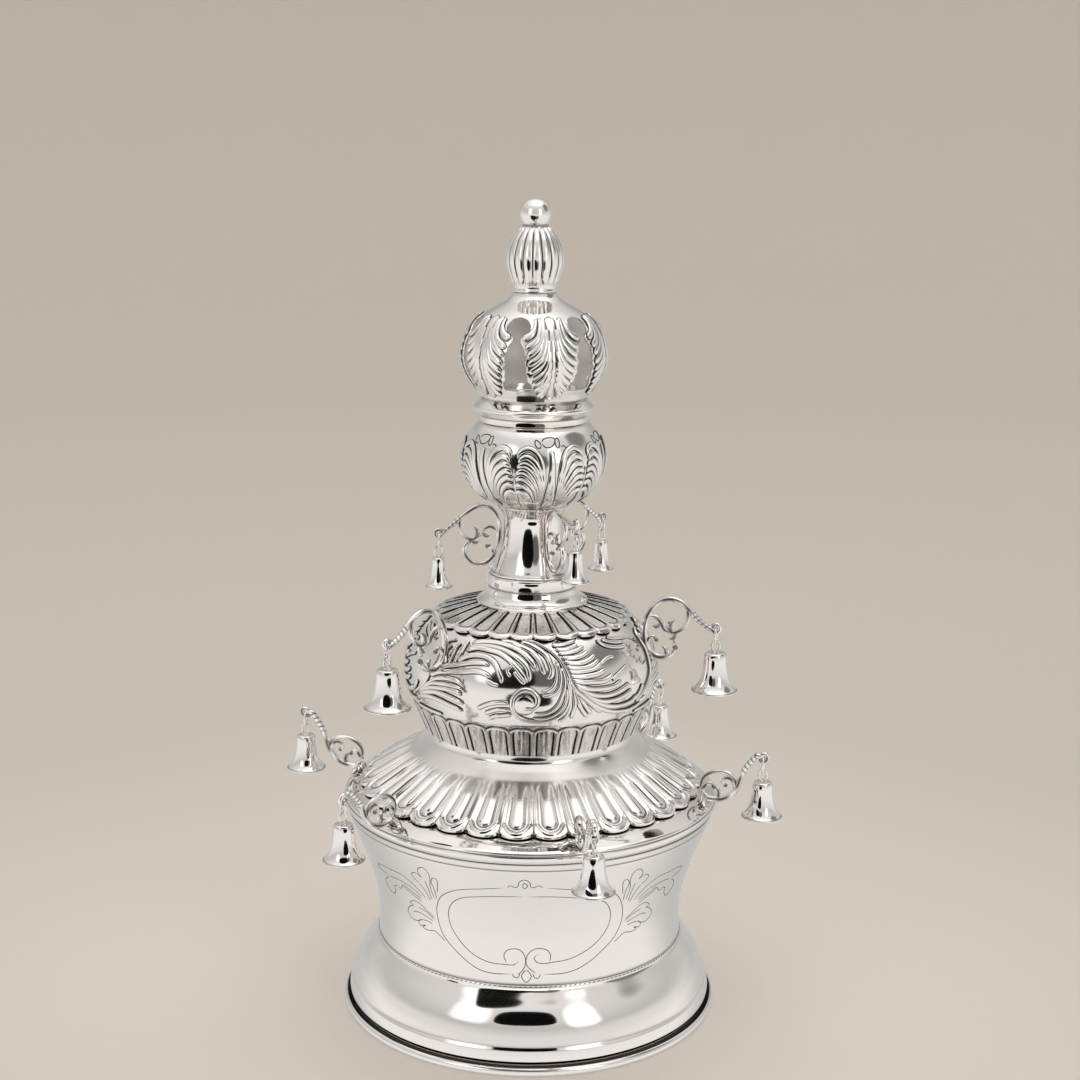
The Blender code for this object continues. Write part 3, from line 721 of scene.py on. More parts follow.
def scroll_eye():
    """The plain round field in the scroll: a disc that leans down, its rise 0.3 to 1.9 mm from its
    foot to its head, with sides as |sin|^0.35."""
    azimuth, height, radius = SCROLL_EYE
    v = np.cos(np.linspace(np.pi, 0, 24))[None]
    points, normal = on_turned(UPPER_BULGE, np.stack([azimuth + 0 * v, height + radius * v], -1))
    wide = radius * np.sqrt(1 - v**2)
    return swept(points, normal, wide, 1.1 + 0.8 * v, 0.3, 24, square=0.35)


def bulge_acanthus():
    """Three scrolls of acanthus, raised from the bulge by about 1.5 mm."""
    third = [
        lobes(UPPER_BULGE, [smooth(flute, 30) for flute in flutes], rise, widest)
        for widest, rise, flutes in ACANTHUS]
    third += [lobes(UPPER_BULGE, [smooth(flute, 24)], 1.2, 2.3) for flute in CURLS]
    third.append(band(UPPER_BULGE, STEM, (0.7, 0.9, 1.1, 1.3, 1.4, 1.3, 1.1), 1.6, 150))
    third.append(band(UPPER_BULGE, SCROLL, (1.2, 1.4, 1.4, 1.2, 1.3, 1.5, 1.6, 1.3), 1.6, 170))
    third.append(scroll_eye())
    third.append(band(UPPER_BULGE, LEFT_STEM, (0.9, 1.1, 0.8), 1.4, 70))
    piece("drum_acanthus", round_axis(joined(*third), 3, 0), CHASED, "chased_silver")


PETAL_SIDE = (0, 0.25, 0.45, 0.57, 0.64, 0.7, 0.76, 0.82, 0.88, 0.94, 1)


def scalloped_cap():
    """The cap: 27 petals, each a sunk matt panel in a raised frame with a round lip. The panel
    starts 3.4 + 2.2 (x / side)^2.5 mm up the slope, x being how far a point is from the middle."""
    azimuths = wave_steps(PETALS, PETAL_CREST, both_signs(PETAL_SIDE)[:-1])
    low = [(46.2, 204.9), (49, 203.3), (49.8, 203.2), (50.3, 203.6)]
    slope = smooth(
        [(50.5, 204.2), (49.4, 205), (47.2, 205.8), (40, 208.1), (33, 210), (27.9, 211.3)], 46)
    inner = np.linspace((27.9, 210.3), (43.4, 205.8), 5)
    along = lengths(slope)[:, None]
    x, half = across_wave(azimuths, PETALS, PETAL_CREST, slope[:, 0])
    off, side_at = np.abs(x), 0.72 * half
    start = 3.4 + 2.2 * np.clip(off / side_at, 0, 1) ** 2.5
    inside = np.clip((along - start) / 0.8, 0, 1) * np.clip((side_at - off) / 0.6, 0, 1)
    ridge = 0.45 * bump(off, half, 0.22 * half)
    lip = 0.5 * bump(along, 1.8, 1.3) * (1 - 0.8 * (x / half) ** 4)
    dark = np.clip(1.8 * bump(off, side_at, 0.5), 0, 1) * np.clip((along - 3) / 1.5, 0, 1)
    dark = np.maximum(dark, bump(along, start, 0.4) * (off < side_at))
    grain = np.random.default_rng(11).uniform(-0.8, 0.12, dark.shape) * inside
    scalloped(
        "petal_cap", "scalloped_cap", (low, slope, inner), azimuths, ridge + lip - 0.45 * inside,
        np.where(dark > np.abs(grain), dark, grain), scallop=(2.2, 0.96, x, half), reach=8,
        climbs=(0.3, 0.3))


# ---------------------------------------------------------------- the crest


def neck():
    """The collar with its ring lines and the waisted tube."""
    outer = np.vstack([
        [(0, 211.8), (27.4, 211.8)],
        smooth([(28, 212), (27.6, 212.6), (25, 213.8), (23.2, 216), (22.4, 218.4)], 14),
        smooth([(22.2, 218.9), (21.7, 219.2), (21.8, 219.7), (22.3, 220.3)], 6),
        smooth([(22.2, 221), (22, 223), (22.1, 224.8), (21.9, 225.4)], 7),
        smooth([(21.3, 225.8), (21.5, 226.5), (21, 227.1)], 5),
        smooth([
            (20.4, 227.6), (19.6, 229.4), (18, 233), (16.4, 237.5), (15.3, 243), (14.8, 249),
            (15, 254), (16.4, 257.4), (18.5, 260.3)], 34),
        [(18.6, 260.7), (0, 260.7)],
    ])
    dark = ring_lines(outer, *[(at, 0.8, 0.25) for at in (219.3, 225.8, 227.3)])
    turning("neck_tube", "neck", outer, dark, 180)


KNOP_OUTER = smooth([
    (19.2, 261.05), (23.4, 263.5), (27.6, 266.6), (30.6, 270.2), (33.5, 275.3), (35, 280.3),
    (35.4, 284.3), (35.2, 287.8), (33.9, 292.8), (31.4, 297.8), (29.4, 300.5), (27.4, 302.15)], 60)
# Half of a knop leaf: flutes that rise beside the midrib and bend outwards, from the innermost on.
KNOP_LEAF = (
    ((6.6, 266.4), (6.2, 275), (7.6, 284), (11.4, 290.8), (18.8, 293.6), (25.6, 291.8),
     (27.4, 288.4)),
    ((7.8, 266.4), (7.6, 274), (9.4, 281.4), (13.2, 286.8), (19.4, 289.6), (24.4, 288.8),
     (26.8, 286.6)),
    ((9, 266.4), (9, 272.4), (10.8, 278.2), (14.8, 283.2), (20.6, 286), (25.4, 285.6), (27.6, 284)),
    ((10.4, 266.4), (10.6, 271), (12.6, 275.6), (16.6, 280), (22.2, 282.8), (26.6, 282.4),
     (28.6, 280.8)),
    ((12, 266.4), (12.6, 270.2), (14.6, 274), (18.4, 277.4), (23.4, 279.6), (27.2, 279.2),
     (29, 277.8)),
    ((13.8, 266.4), (15.2, 269.6), (17.4, 272.4), (21, 275), (25.2, 276.3), (28, 275.8),
     (29.4, 274.8)),
    ((16.2, 266.6), (17.8, 268.7), (20, 270.5), (23, 272), (26.4, 272.6), (28.6, 272),
     (29.6, 271.2)),
)
# The trefoil drawn over a leaf.
KNOP_TREFOIL = (
    ((-8, 296.2), (-6.8, 297.8), (-2, 298.6), (3.4, 298.2), (3.2, 296.2), (-0.6, 294.4),
     (-5.2, 294.4), (-8, 296.2)),
    ((-8.5, 295.2), (-10, 296.6), (-12.8, 297.6), (-13.8, 296.3), (-12.6, 294.5), (-9.8, 293.9),
     (-8.5, 295.2)),
    ((4, 297.8), (6.5, 298.2), (7.4, 296.6), (7, 294.6), (5, 294), (3.8, 295.6), (4, 297.8)),
    ((8.5, 294.3), (10.6, 294.8), (12.4, 294), (14.2, 292.4)),
)


def six_leaves(name, outer, half, rise, widest, *more):
    """Six leaves round the axis, each with the flutes of half on both its sides and more shapes."""
    paths = np.stack([smooth(stroke, 26) for stroke in half])
    sides = [lobes(outer, paths * (sign, 1), rise, widest) for sign in (1, -1)]
    leaf = joined(*sides, *more)
    piece(name, round_axis(leaf, LEAVES, LEAF_CREST), CHASED, "chased_silver")


def lower_knop():
    """The round knop with six chased leaves that meet between, and a trefoil drawn over each."""
    outer = np.vstack([[(0, 261)], KNOP_OUTER, [(0, 302.2)]])
    turning("knop_ball", "lower_knop", outer, ring_lines(outer, (272, 0.12, 9)), 216, chased=True)
    midrib = ((0, 262.6), (0, 272), (0, 284), (0, 293))
    seam = ((30, 263.4), (30, 270), (30, 277), (30, 284.4))
    six_leaves(
        "knop_leaves", KNOP_OUTER, KNOP_LEAF, 1.1, 3.4,
        band(KNOP_OUTER, midrib, (3.3, 2.9, 2.1, 1.7, 1.4), 0.7),
        band(KNOP_OUTER, seam, (0.5, 0.6, 0.4), 0.6),
        lines(KNOP_OUTER, KNOP_TREFOIL, 0.62, 0.15, 0.9))


def knop_ring():
    """The moulded ring: a plain band, a sharp roll and a neck."""
    roll = [
        (26.9, 305.9), (28.4, 307.4), (30, 308.8), (30.4, 309.6), (29.9, 310.6), (28, 312.2),
        (26.6, 313.4)]
    outer = np.vstack([
        [(0, 302.5), (26.2, 302.5)],
        smooth([(26.5, 302.8), (26.4, 304.4), (26.6, 305.6)], 6),
        smooth(roll, 22),
        [(26.3, 313.9), (26, 314.2), (0, 314.2)],
    ])
    dark = ring_lines(outer, (305.7, 0.7, 0.3), (313.7, 0.6, 0.3))
    turning("ring_moulding", "knop_ring", outer, dark, 216)


BULB_OUTER = smooth([
    (25.8, 314.5), (27.1, 316.6), (29.5, 320.1), (32.6, 325), (34.6, 330), (35.3, 334.4),
    (35, 337.4), (34, 342.2), (32, 347.1), (28.8, 352), (26.3, 354.4), (22.9, 356.8),
    (18.5, 359.2), (14.1, 361.6), (11.9, 363.6), (11.1, 365.2)], 90)
BULB_WALL, SATIN_FROM = 1.1, 0.9  # how deep below the outside the wall ends and the satin starts
# Half of a keyhole: (degrees from its middle, height), lobed where the leaves' flutes end.
KEYHOLE = (
    (0, 320.4), (7, 320.4), (12.6, 320.8), (13.6, 322.2), (12.4, 324.2), (9.6, 326), (10, 328),
    (8.5, 330), (9.5, 332.2), (8, 334.8), (9.2, 337.2), (7.5, 339.4), (7, 341.4), (5.2, 343),
    (3.3, 344.9), (3.8, 346.5), (7.5, 347.6), (10.5, 349), (11.8, 351), (10.5, 353), (7, 354.6),
    (0, 355.5),
)
KEYHOLE_REACH = (19, 44)  # distances from the axis that its cutter runs between
# Half of a bulb leaf, one stroke for each of its hanging flutes from the top down.
BULB_LEAF = (
    ((14, 355), (14.4, 351), (17.6, 347.8), (24.6, 345.4)),
    ((10.6, 355.6), (10.2, 350.4), (12.8, 345.4), (22, 341.2)),
    ((8, 354.6), (7.4, 348.8), (10.2, 343.2), (20.6, 337.4)),
    ((5, 350.6), (5.9, 344.6), (9.6, 338.4), (20.2, 333.4)),
    ((3.6, 345.8), (4.8, 340), (8.8, 334.6), (19, 329.8)),
    ((3.4, 341), (4.4, 336), (8.2, 331.2), (17.8, 326.8)),
    ((3.6, 336.2), (4.5, 331.8), (7.9, 327.6), (16.4, 323.8)),
    ((3.9, 331.4), (4.8, 327.6), (7.8, 324), (14.4, 320.8)),
    ((4.3, 326.4), (5, 323.2), (7.2, 320.2), (11.4, 317.8)),
)


def keyholes():
    """Six cutters through the bulb's wall, between the leaves: the keyhole's outline drawn out from
    the axis between two distances, with a middle point to close each end."""
    edge = smooth(KEYHOLE, 60)[:-1]
    edge = np.vstack([edge, edge[-2:0:-1] * (-1, 1)])
    side, level = np.radians(edge[:, 0]), edge[:, 1]
    near, far = (np.stack([np.full(len(edge), x), side * x, level], 1) for x in KEYHOLE_REACH)
    caps = [np.broadcast_to(end.mean(0), end.shape) for end in (near, far)]
    cutter = grid(np.stack([caps[0], near, far, caps[1]])[None])
    return round_axis(cutter, LEAVES, LEAF_CREST + 30 - 90)  # it is drawn at azimuth 90


def pierced_bulb():
    """The onion bulb: a thin shell with six keyholes, and six leaves whose flutes end at their
    edges. The shell's inner side follows the outer one at the wall's thickness."""
    along = run_along(BULB_OUTER)
    inner = BULB_OUTER - BULB_WALL * np.stack([along[:, 1], -along[:, 0]], 1)
    profile = np.vstack([BULB_OUTER, inner[::-5]])
    shell = turning(
        "bulb_shell", "pierced_bulb", profile, 0 * profile[:, 1], 240, ring=True, chased=True)
    cutter = piece("keyholes", keyholes(), CHASED, "chased_silver")
    cut = shell.modifiers.new("keyholes", "BOOLEAN")
    cut.object = cutter
    cut.operation = "DIFFERENCE"
    bpy.context.view_layer.update()
    graph = bpy.context.evaluated_depsgraph_get()
    mesh = bpy.data.meshes.new_from_object(shell.evaluated_get(graph))
    shell.modifiers.clear()
    shell.data = mesh
    mesh.materials.append(SATIN)
    centres = np.empty(len(mesh.polygons) * 3, np.float32)
    mesh.polygons.foreach_get("center", centres)
    x, y, z = centres.reshape(-1, 3).T / MM
    line_r, line_z = BULB_OUTER.T
    inside = np.hypot(x, y) < np.interp(z, line_z, line_r) - SATIN_FROM
    mesh.polygons.foreach_set("material_index", inside.astype(np.int32))
    bpy.data.objects.remove(cutter)
    midrib = ((0, 316), (0, 328), (0, 342), (0, 356))
    six_leaves(
        "bulb_leaves", BULB_OUTER, BULB_LEAF, 1.3, 4.4,
        band(BULB_OUTER, midrib, (2.6, 2.1, 1.7, 1.7, 2.3, 3.2), 0.7))


RIB_SIDE = (0, 0.2, 0.4, 0.6, 0.8, 0.94, 1)
RIB_RISE, RIB_FOOT = 0.95, 0.45  # how high its crest stands over its sides, and how low they lie


def bud_finial():
    """The reeded bud, 18 round ribs that end in points, and the ball. A rib stands out by its rise
    times sqrt(1 - (x / half)^2), x being how far a point is from its crest."""
    plain = smooth([(10.6, 365.7), (11, 366.3), (10.6, 367.2), (10.5, 368), (10.8, 369)], 9)
    bud = smooth([
        (10.9, 369.4), (12.2, 373.7), (13.5, 378), (13.8, 381.9), (13.2, 385.7), (11.3, 390.5),
        (8.7, 394.3), (6.5, 397)], 50)
    waist = smooth([(6.2, 397.3), (6.2, 397.8), (6.9, 398.5)], 4)
    knob = smooth([
        (7.4, 399.9), (7.9, 401.6), (7.95, 403.2), (7.5, 405.4), (6.6, 407.3), (5, 409.1),
        (2.6, 410.3), (0, 410.6)], 22)
    profile = np.vstack([[(0, 365.5), (10.3, 365.5)], plain, bud, waist, knob])
    azimuths = wave_steps(RIBS, RIB_CREST, both_signs(RIB_SIDE)[1:])
    x, half = across_wave(azimuths, RIBS, RIB_CREST, bud[:, 0])
    share = np.linspace(0, 1, len(bud))[:, None]
    off = np.abs(x / half) ** 1.5
    end = np.clip((share - 0.12 * off) / 0.05, 0, 1) * np.clip((1 - share - 0.1 * off) / 0.05, 0, 1)
    rib = RIB_RISE * np.sqrt(np.clip(1 - (x / half) ** 2, 0, 1)) * np.sqrt(end) - RIB_FOOT * end
    dark = 0.95 * bump((half - np.abs(x)) / half, 0, 0.16) * (0.4 + 0.6 * end)
    rib, dark = (full_rows(values, profile, 2 + len(plain)) for values in (rib, dark))
    dark = dark + ring_lines(profile, (397.5, 0.9, 0.4))[:, None]
    shape = lathe(profile, azimuths, rib, dark, ring=False)
    piece("reeded_bud", shape, CHASED, "chased_silver", "bud_finial")


# ---------------------------------------------------------------- arms, links and bells

# A tier of arms in its own plane. main is the stroke that runs to the hook, whose curl starts at an
# angle and turns on by another. curls are thin tendrils, and leaves (root, bend, bend, tip). arms
# are (azimuth, how far the tip is bent up), and bell is a radius and a height.
TIERS = (
    dict(
        name="upper", hook=(47, 246), start=-150, sweep=285, width=2.7, thick=2.4,
        bell=(6.85, 15.5), root=16.6, arms=((-84, 0), (26, 12), (131, 1.5)),
        beads=((22.9, 239.2, 0.95), (28.2, 247.4, 0.95), (31.2, 242.2, 1.1)),
        main=((31.2, 242.2), (33.8, 239.4), (33.9, 235.4), (31.2, 231.9), (27.6, 230.4),
            (23.6, 230.8), (20, 234), (17.6, 239.4), (16.6, 245.6), (17, 252), (19.4, 257.2),
            (23.6, 259.8), (28.2, 259.3), (33, 256.4), (37.6, 252.4), (42.6, 248.2)),
        curls=(
            ((36.8, 252.6), (36.6, 248.8), (34.8, 245), (31.6, 243), (28.6, 243.6), (27, 245.8),
             (28.2, 247.4)),
            ((17, 243.4), (18.2, 247.2), (21.2, 249.2), (24, 248.2), (25.4, 245.6), (28.4, 243.6)),
            ((19.4, 234.4), (20.2, 237), (21.4, 239.6), (22.9, 239.2)),
        ),
        leaves=(
            ((29, 243.2), (28, 245.6), (27.6, 247.8), (29.6, 249.2)),
            ((31, 243), (30.4, 241.2), (28.6, 240.6), (27, 241.8)),
            ((25.2, 246.6), (24.6, 244.6), (23.2, 243.8), (21.6, 244.6)),
        ),
    ),
    dict(
        name="middle", hook=(94.5, 204.4), start=-150, sweep=285, width=3, thick=2.9,
        bell=(11.5, 19.8), root=58.4, arms=((-46, 1), (73, 0), (194, 0)),
        beads=((64.6, 196, 1.1), (71.4, 205, 1.1), (74.2, 192.8, 1.35)),
        main=((74.2, 192.8), (72.8, 190), (69.6, 188), (65.4, 187.6), (61.8, 189.8), (59.4, 193.8),
            (58.4, 199.2), (59.2, 205.4), (61.4, 211), (65.4, 215.4), (71, 217.4), (76.6, 216.2),
            (81.2, 212.6), (85.4, 208.2), (90, 204.8)),
        curls=(
            ((80.4, 213), (80.4, 208.2), (78.6, 203.8), (75.4, 201.2), (72.4, 200.8), (70.2, 203),
             (71.4, 205)),
            ((58.9, 205.4), (61.4, 207.8), (64.6, 207.4), (67, 204.8), (68.6, 201.8), (71.8, 200.2),
             (74, 198.2), (73.6, 194.8)),
            ((59.8, 194.4), (61.2, 197), (63.4, 197.6), (64.6, 196)),
        ),
        leaves=(
            ((72.4, 200.8), (71.6, 203.4), (71.8, 205.8), (74, 207)),
            ((74.6, 200.8), (74.6, 198.4), (73, 196.8), (71, 197.4)),
            ((66.8, 205), (65.8, 202.8), (64, 202.2), (62.6, 203.4)),
            ((69.6, 188), (70.6, 190.4), (69.6, 192.6), (67.4, 193)),
        ),
    ),
    dict(
        name="lower", hook=(120.3, 138.2), start=150, sweep=-290, width=3, thick=2.9,
        bell=(10.25, 18.5), root=88.6,
        arms=((14, -4.5), (73, 2.3), (143, 0.8), (199, 0), (259, 5.5), (313, -4)),
        beads=((101.6, 123.8, 1.05), (95.8, 122.6, 1.05)),
        main=((90.6, 118.2), (93.4, 116.6), (97.2, 116.3), (101.4, 117.2), (105.2, 119.8),
            (107.8, 123.8), (109.2, 128), (111, 132.4), (113.8, 136.4), (116.6, 139.4)),
        curls=(
            ((107.2, 122.8), (106.6, 126.6), (103.8, 129.6), (99.6, 130.9), (95, 130.4),
             (91.2, 128), (89.4, 124.2), (90, 120.4), (92.6, 117.6)),
            ((107, 123), (104.6, 127.2), (101.8, 127.8), (100, 125.6), (101.6, 123.8)),
            ((90.2, 121), (92.2, 123.8), (94.6, 124.4), (95.8, 122.6)),
        ),
        leaves=(
            ((98, 116.8), (99.4, 119.6), (98.6, 122), (96.4, 122.6)),
        ),
    ),
)
HOOK_RADIUS, HOOK_TO_BELL = 1.9, 12
ROPE_LENGTH, ROPE_TURN = 15, 2.4
REFLECTION_WAVE, REFLECTION_START = 13, 0.19099  # the length of one wave of painted dark reflection, and where in one the bar starts
LINK_CENTRE, LINK_SIZE, LINK_WIRE = 3.6, (1.85, 3.5), 1.3
EYE_SIZE, EYE_WIRE, EYE_CENTRE = (1.95, 3.2), 1.35, 3


def bent(tier, lift, radius):
    """How far an arm is bent up at a radius: lift times the square of the way out to the hook."""
    return lift * np.clip((radius - tier["root"]) / (tier["hook"][0] - tier["root"]), 0, 1.5) ** 2


def in_plane(line, lift, tier):
    """A line of (radius, height) bent up in the arm's plane, as points (1, n, 3) with their
    in-plane normals and the share of the way along, from 0 to 1."""
    points = np.stack([line[:, 0], 0 * line[:, 0], line[:, 1] + bent(tier, lift, line[:, 0])], 1)
    out = unit(np.cross(np.gradient(points, axis=0), (0, 1, 0)))
    return points[None], out[None], np.linspace(0, 1, len(line))[None]


def wave(turns):
    """Painted dark reflection in places, by 0.7 + 0.6 cos(2 pi turns) between 0 and 1."""
    return np.clip(0.7 + 0.6 * np.cos(2 * np.pi * turns), 0, 1)


def arm(tier, lift):
    """A cast scroll: a bar that ends in the hook, with tendrils and small leaves. Its flat sides
    carry a painted dark reflection in waves between bright edges, and on the way to the hook it is
    milled like a rope, shown as painted shade in lines where cos(2 pi s / 2.4 + angle) peaks, the
    grooves not being modelled."""
    turns = np.radians(tier["start"] + tier["sweep"] * np.linspace(0, 1, 9))
    curl = np.array(tier["hook"]) + HOOK_RADIUS * np.stack([np.cos(turns), np.sin(turns)], 1)
    points, out, u = in_plane(smooth([*tier["main"], *curl], 190), lift, tier)
    length = lengths(points[0])[-1]
    s = length * u
    ends = np.sqrt(np.clip(np.minimum(s, length - s) / 1.2, 0, 1))
    slim = (1 - 0.34 * u**4) * ends
    left = length - s - HOOK_RADIUS * np.abs(np.radians(tier["sweep"]))
    twisted = (np.clip(left / 2, 0, 1) * np.clip((ROPE_LENGTH - left) / 3, 0, 1)).T
    half_width, half_thick = tier["width"] / 2, tier["thick"] / 2
    angle = np.linspace(0, 2 * np.pi, 12, endpoint=False)
    side = np.clip(1.3 - np.abs(np.sin(angle)) / 0.5, 0, 1)
    # Painted shade of the rope's milled grooves, which are not modelled.
    rope = 0.9 * (0.5 + 0.5 * np.cos(2 * np.pi * s.T / ROPE_TURN + angle)) ** 4 * twisted
    # Painted dark reflection on the bar's flat sides, in waves along it.
    painted_reflection = wave(s.T / REFLECTION_WAVE + REFLECTION_START) * side * (1 - twisted)
    bar = swept(points, out, half_width * slim, half_thick * slim, ring=len(angle), square=0.7)
    shapes = [(bar[0], bar[1], np.maximum(rope, painted_reflection).ravel()), ball(points[0, -1], 1.05, 0.6)]
    for number, stroke in enumerate(tier["curls"]):
        points, out, u = in_plane(smooth(stroke, 60), lift, tier)
        size = (1 - 0.3 * u) * np.sqrt(np.clip(np.minimum(u, 1 - u) * 30, 0, 1))
        # The tendrils' sides carry the same painted dark reflection.
        dark = wave(1.5 * u + 0.3 * number)[..., None]
        shapes.append(swept(
            points, out, 0.88 * half_width * size, 0.84 * half_thick * size, edge=dark))
    for leaf in tier["leaves"]:
        points, out, u = in_plane(smooth(bezier([leaf], 20)[0], 20), lift, tier)
        size = np.sin(np.pi * u**0.8) ** 0.7
        shapes.append(swept(
            points, out, 1.2 * half_width * size, 0.92 * half_thick * size, edge=0.85))
    for x, z, size in tier["beads"]:
        shapes.append(ball((x, 0, z + bent(tier, lift, x)), size, 0.75))
    if tier["name"] == "lower":
        shapes.append(leaf_foot())
    return joined(*shapes)


def leaf_foot():
    """The cast acanthus at a lower arm's foot: flutes that spread on the ledge from under the loop,
    each a Bezier curve that rises and comes down again."""
    spread = np.linspace(-1, 1, 7)
    off = np.abs(spread)
    root = np.stack([93 - off, 1.2 * spread, 115.6 - 0.4 * off], 1)
    tip = np.stack([92.6 - 3.4 * (1 - spread**2), 8 * spread, 114.6 + 0.9 * (1 - off)], 1)
    rise = np.array([-0.8, 0, 2.2])
    bends = (root * 0.7 + tip * 0.3 + rise, root * 0.3 + tip * 0.7 + rise * 0.7)
    path = bezier(np.stack([root, *bends, tip], 1), 18)
    u = np.linspace(0, 1, 18)[None]
    size = np.sqrt(np.clip(np.minimum(u * 10, (1 - u) * 5), 0, 1))
    size = size * (0.4 + 0.6 * np.clip(u / 0.6, 0, 1))
    return swept(path, np.broadcast_to((0.25, 0, 1), path.shape), 1.45 * size, 1.2 * size, edge=0.9)


def oval(size, wire, upright):
    """A closed wire link round its centre, in the XZ plane, or in YZ where upright is set. size is
    its half width and half height."""
    turn = np.linspace(0, 2 * np.pi, 28, endpoint=False)
    wide, high = size[0] * np.cos(turn), size[1] * np.sin(turn)
    path = np.stack([0 * turn, wide, high] if upright else [wide, 0 * turn, high], 1)[None]
    return swept(path, path, wire / 2, wire / 2, ring=9, closed=True, edge=0.15)


def bell(radius, height):
    """A turned bell: flat crown, long waist, flared lip with a rolled edge, and the hollow inside.
    Its outline is drawn for a radius and a height of 1."""
    hollow = smooth([
        (0.28, 0.935), (0.4, 0.88), (0.43, 0.72), (0.49, 0.46), (0.62, 0.24), (0.8, 0.09),
        (0.92, 0.015)], 18)
    waist = smooth([
        (0.985, 0.05), (0.9, 0.085), (0.78, 0.165), (0.66, 0.29), (0.575, 0.45), (0.52, 0.66),
        (0.49, 0.86), (0.465, 0.94)], 26)
    outline = np.vstack([
        [(0, 0.94)], hollow, smooth([(0.96, 0), (0.995, 0.012), (1, 0.035)], 5), waist,
        smooth([(0.44, 0.975), (0.38, 0.995), (0.2, 1)], 6), [(0, 1)]])
    outside = np.arange(len(outline)) > 1 + len(hollow)
    # The hollow inside is painted 0.55 dark: painted shade in the cup.
    dark = np.where(outside, ring_lines(outline, (0.055, 0.6, 0.012), (0.955, 0.5, 0.015)), 0.55)
    eye = turned_to(oval(EYE_SIZE, EYE_WIRE, False), 90, height=height + EYE_CENTRE)
    return joined(lathe(outline * (radius, height), steps(60), 0, dark[:, None], False), eye)


def hanging(tier):
    """A tier's arms, links and bells."""
    name = tier["name"]
    radius, height = tier["bell"]
    one_bell = bell(radius, height)
    link = oval(LINK_SIZE, LINK_WIRE, True)
    hook_r, hook_z = tier["hook"]
    for number, (azimuth, lift) in enumerate(tier["arms"], 1):
        hook = hook_z + lift
        for part, node, shape, place, look in (
            ("scroll", "arm", arm(tier, lift), (), (CAST, "chased_silver")),
            ("ring", "link", link, (hook_r, hook - LINK_CENTRE), (POLISHED, "polished_silver")),
            ("cup", "bell", one_bell, (hook_r, hook - HOOK_TO_BELL - height),
             (POLISHED, "polished_silver")),
        ):
            shape = turned_to(shape, azimuth, *place)
            piece(f"{name}_{part}_{number}", shape, *look, f"{name}_{node}_{number}")


# ---------------------------------------------------------------- studio

# The white table below, a grey wall round the horizon and a pale ceiling, as (degrees above the
# horizon, tone).
ROOM_BY_HEIGHT = (
    (-90, 0.78), (-40, 0.89), (-9, 0.9), (2, 0.78), (18, 0.56), (42, 0.72), (60, 0.97), (90, 1))
BEHIND = 0.62  # how much duller the room is behind the crown
# Paper tones near the crown and far from it: the darker far tone is painted shade where the light
# falls off.
PAPER_NEAR, PAPER_FAR = "#F0E8DF", "#DAD3C9"
# Cards: name, azimuth, distance, (sideways, height), (width, height), strength and soft edge. Soft
# boxes to both sides and overhead, a grey screen, and the dark camera on its stand.
CARDS = (
    ("softbox_left", -40, 1.3, (0, 0.95), (0.75, 1.1), 1.35, 0.8),
    ("softbox_right", 36, 1.3, (0, 0.85), (0.62, 1.2), 1.6, 0.8),
    ("softbox_top", 0, 0.1, (0.2, 1.7), (1.6, 1.6), 1.6, 0.8),
    ("grey_screen", 92, 1.2, (0, 1.25), (1.1, 1.2), 0.22, 0.5),
    ("dark_figure", 0, 0.23, (-0.008, 0.135), (0.15, 0.09), 0.003, 0.06),
    ("dark_stand", 0, 0.232, (-0.08, 0.293), (0.192, 0.186), 0.003, 0.06),
    ("grey_stand", 0, 0.236, (0.044, 0.296), (0.12, 0.16), 0.12, 0.25),
)
OVERHEAD = 1.5


def card(name, azimuth, distance, middle, size, strength, soft):
    """An upright card at a distance from the axis, or a level one where it is overhead, which shows
    only in the silver, in metres. It has rounded corners, x^3 + y^3 = 1, and fades out over soft, a
    share of its half size."""
    material, tree = new_material(name)
    tree.nodes.remove(tree.nodes["Principled BSDF"])
    place = add_node(tree, "ShaderNodeUVMap", {"uv_map": "card"})
    side = add_node(tree, "ShaderNodeSeparateXYZ", (), [("Vector", place.outputs["UV"])])
    cubes = [
        add_maths(tree, "POWER", add_maths(tree, "ABSOLUTE", side.outputs[axis]), 3)
        for axis in ("X", "Y")]
    ease = {"interpolation_type": "SMOOTHSTEP", "From Min": 1, "From Max": (1 - soft) ** 3}
    share = add_node(tree, "ShaderNodeMapRange", ease, [("Value", add_maths(tree, "ADD", *cubes))])
    glow = add_node(tree, "ShaderNodeEmission", {"Strength": strength})
    clear = add_node(tree, "ShaderNodeBsdfTransparent")
    links = [(0, share.outputs["Result"]), (1, clear.outputs[0]), (2, glow.outputs[0])]
    mix = add_node(tree, "ShaderNodeMixShader", (), links)
    tree.links.new(tree.nodes["Material Output"].inputs["Surface"], mix.outputs[0])
    turn = np.radians(azimuth)
    away = np.array([np.sin(turn), -np.cos(turn), 0])
    across = np.array([np.cos(turn), np.sin(turn), 0])
    up = -away if middle[1] > OVERHEAD else np.array([0, 0, 1])
    centre = distance * away + middle[0] * across + (0, 0, middle[1])
    corners = [(-1, -1), (-1, 1), (1, 1), (1, -1)]
    points = [centre + u * size[0] / 2 * across + v * size[1] / 2 * up for u, v in corners]
    mesh = bpy.data.meshes.new(name)
    mesh.from_pydata([point.tolist() for point in points], [], [(0, 1, 2, 3)])
    layer = mesh.uv_layers.new(name="card")
    layer.data.foreach_set("uv", np.array(corners, np.float32).ravel())
    mesh.materials.append(material)
    obj = put(name, mesh)
    obj.visible_camera = False
    obj.visible_shadow = False


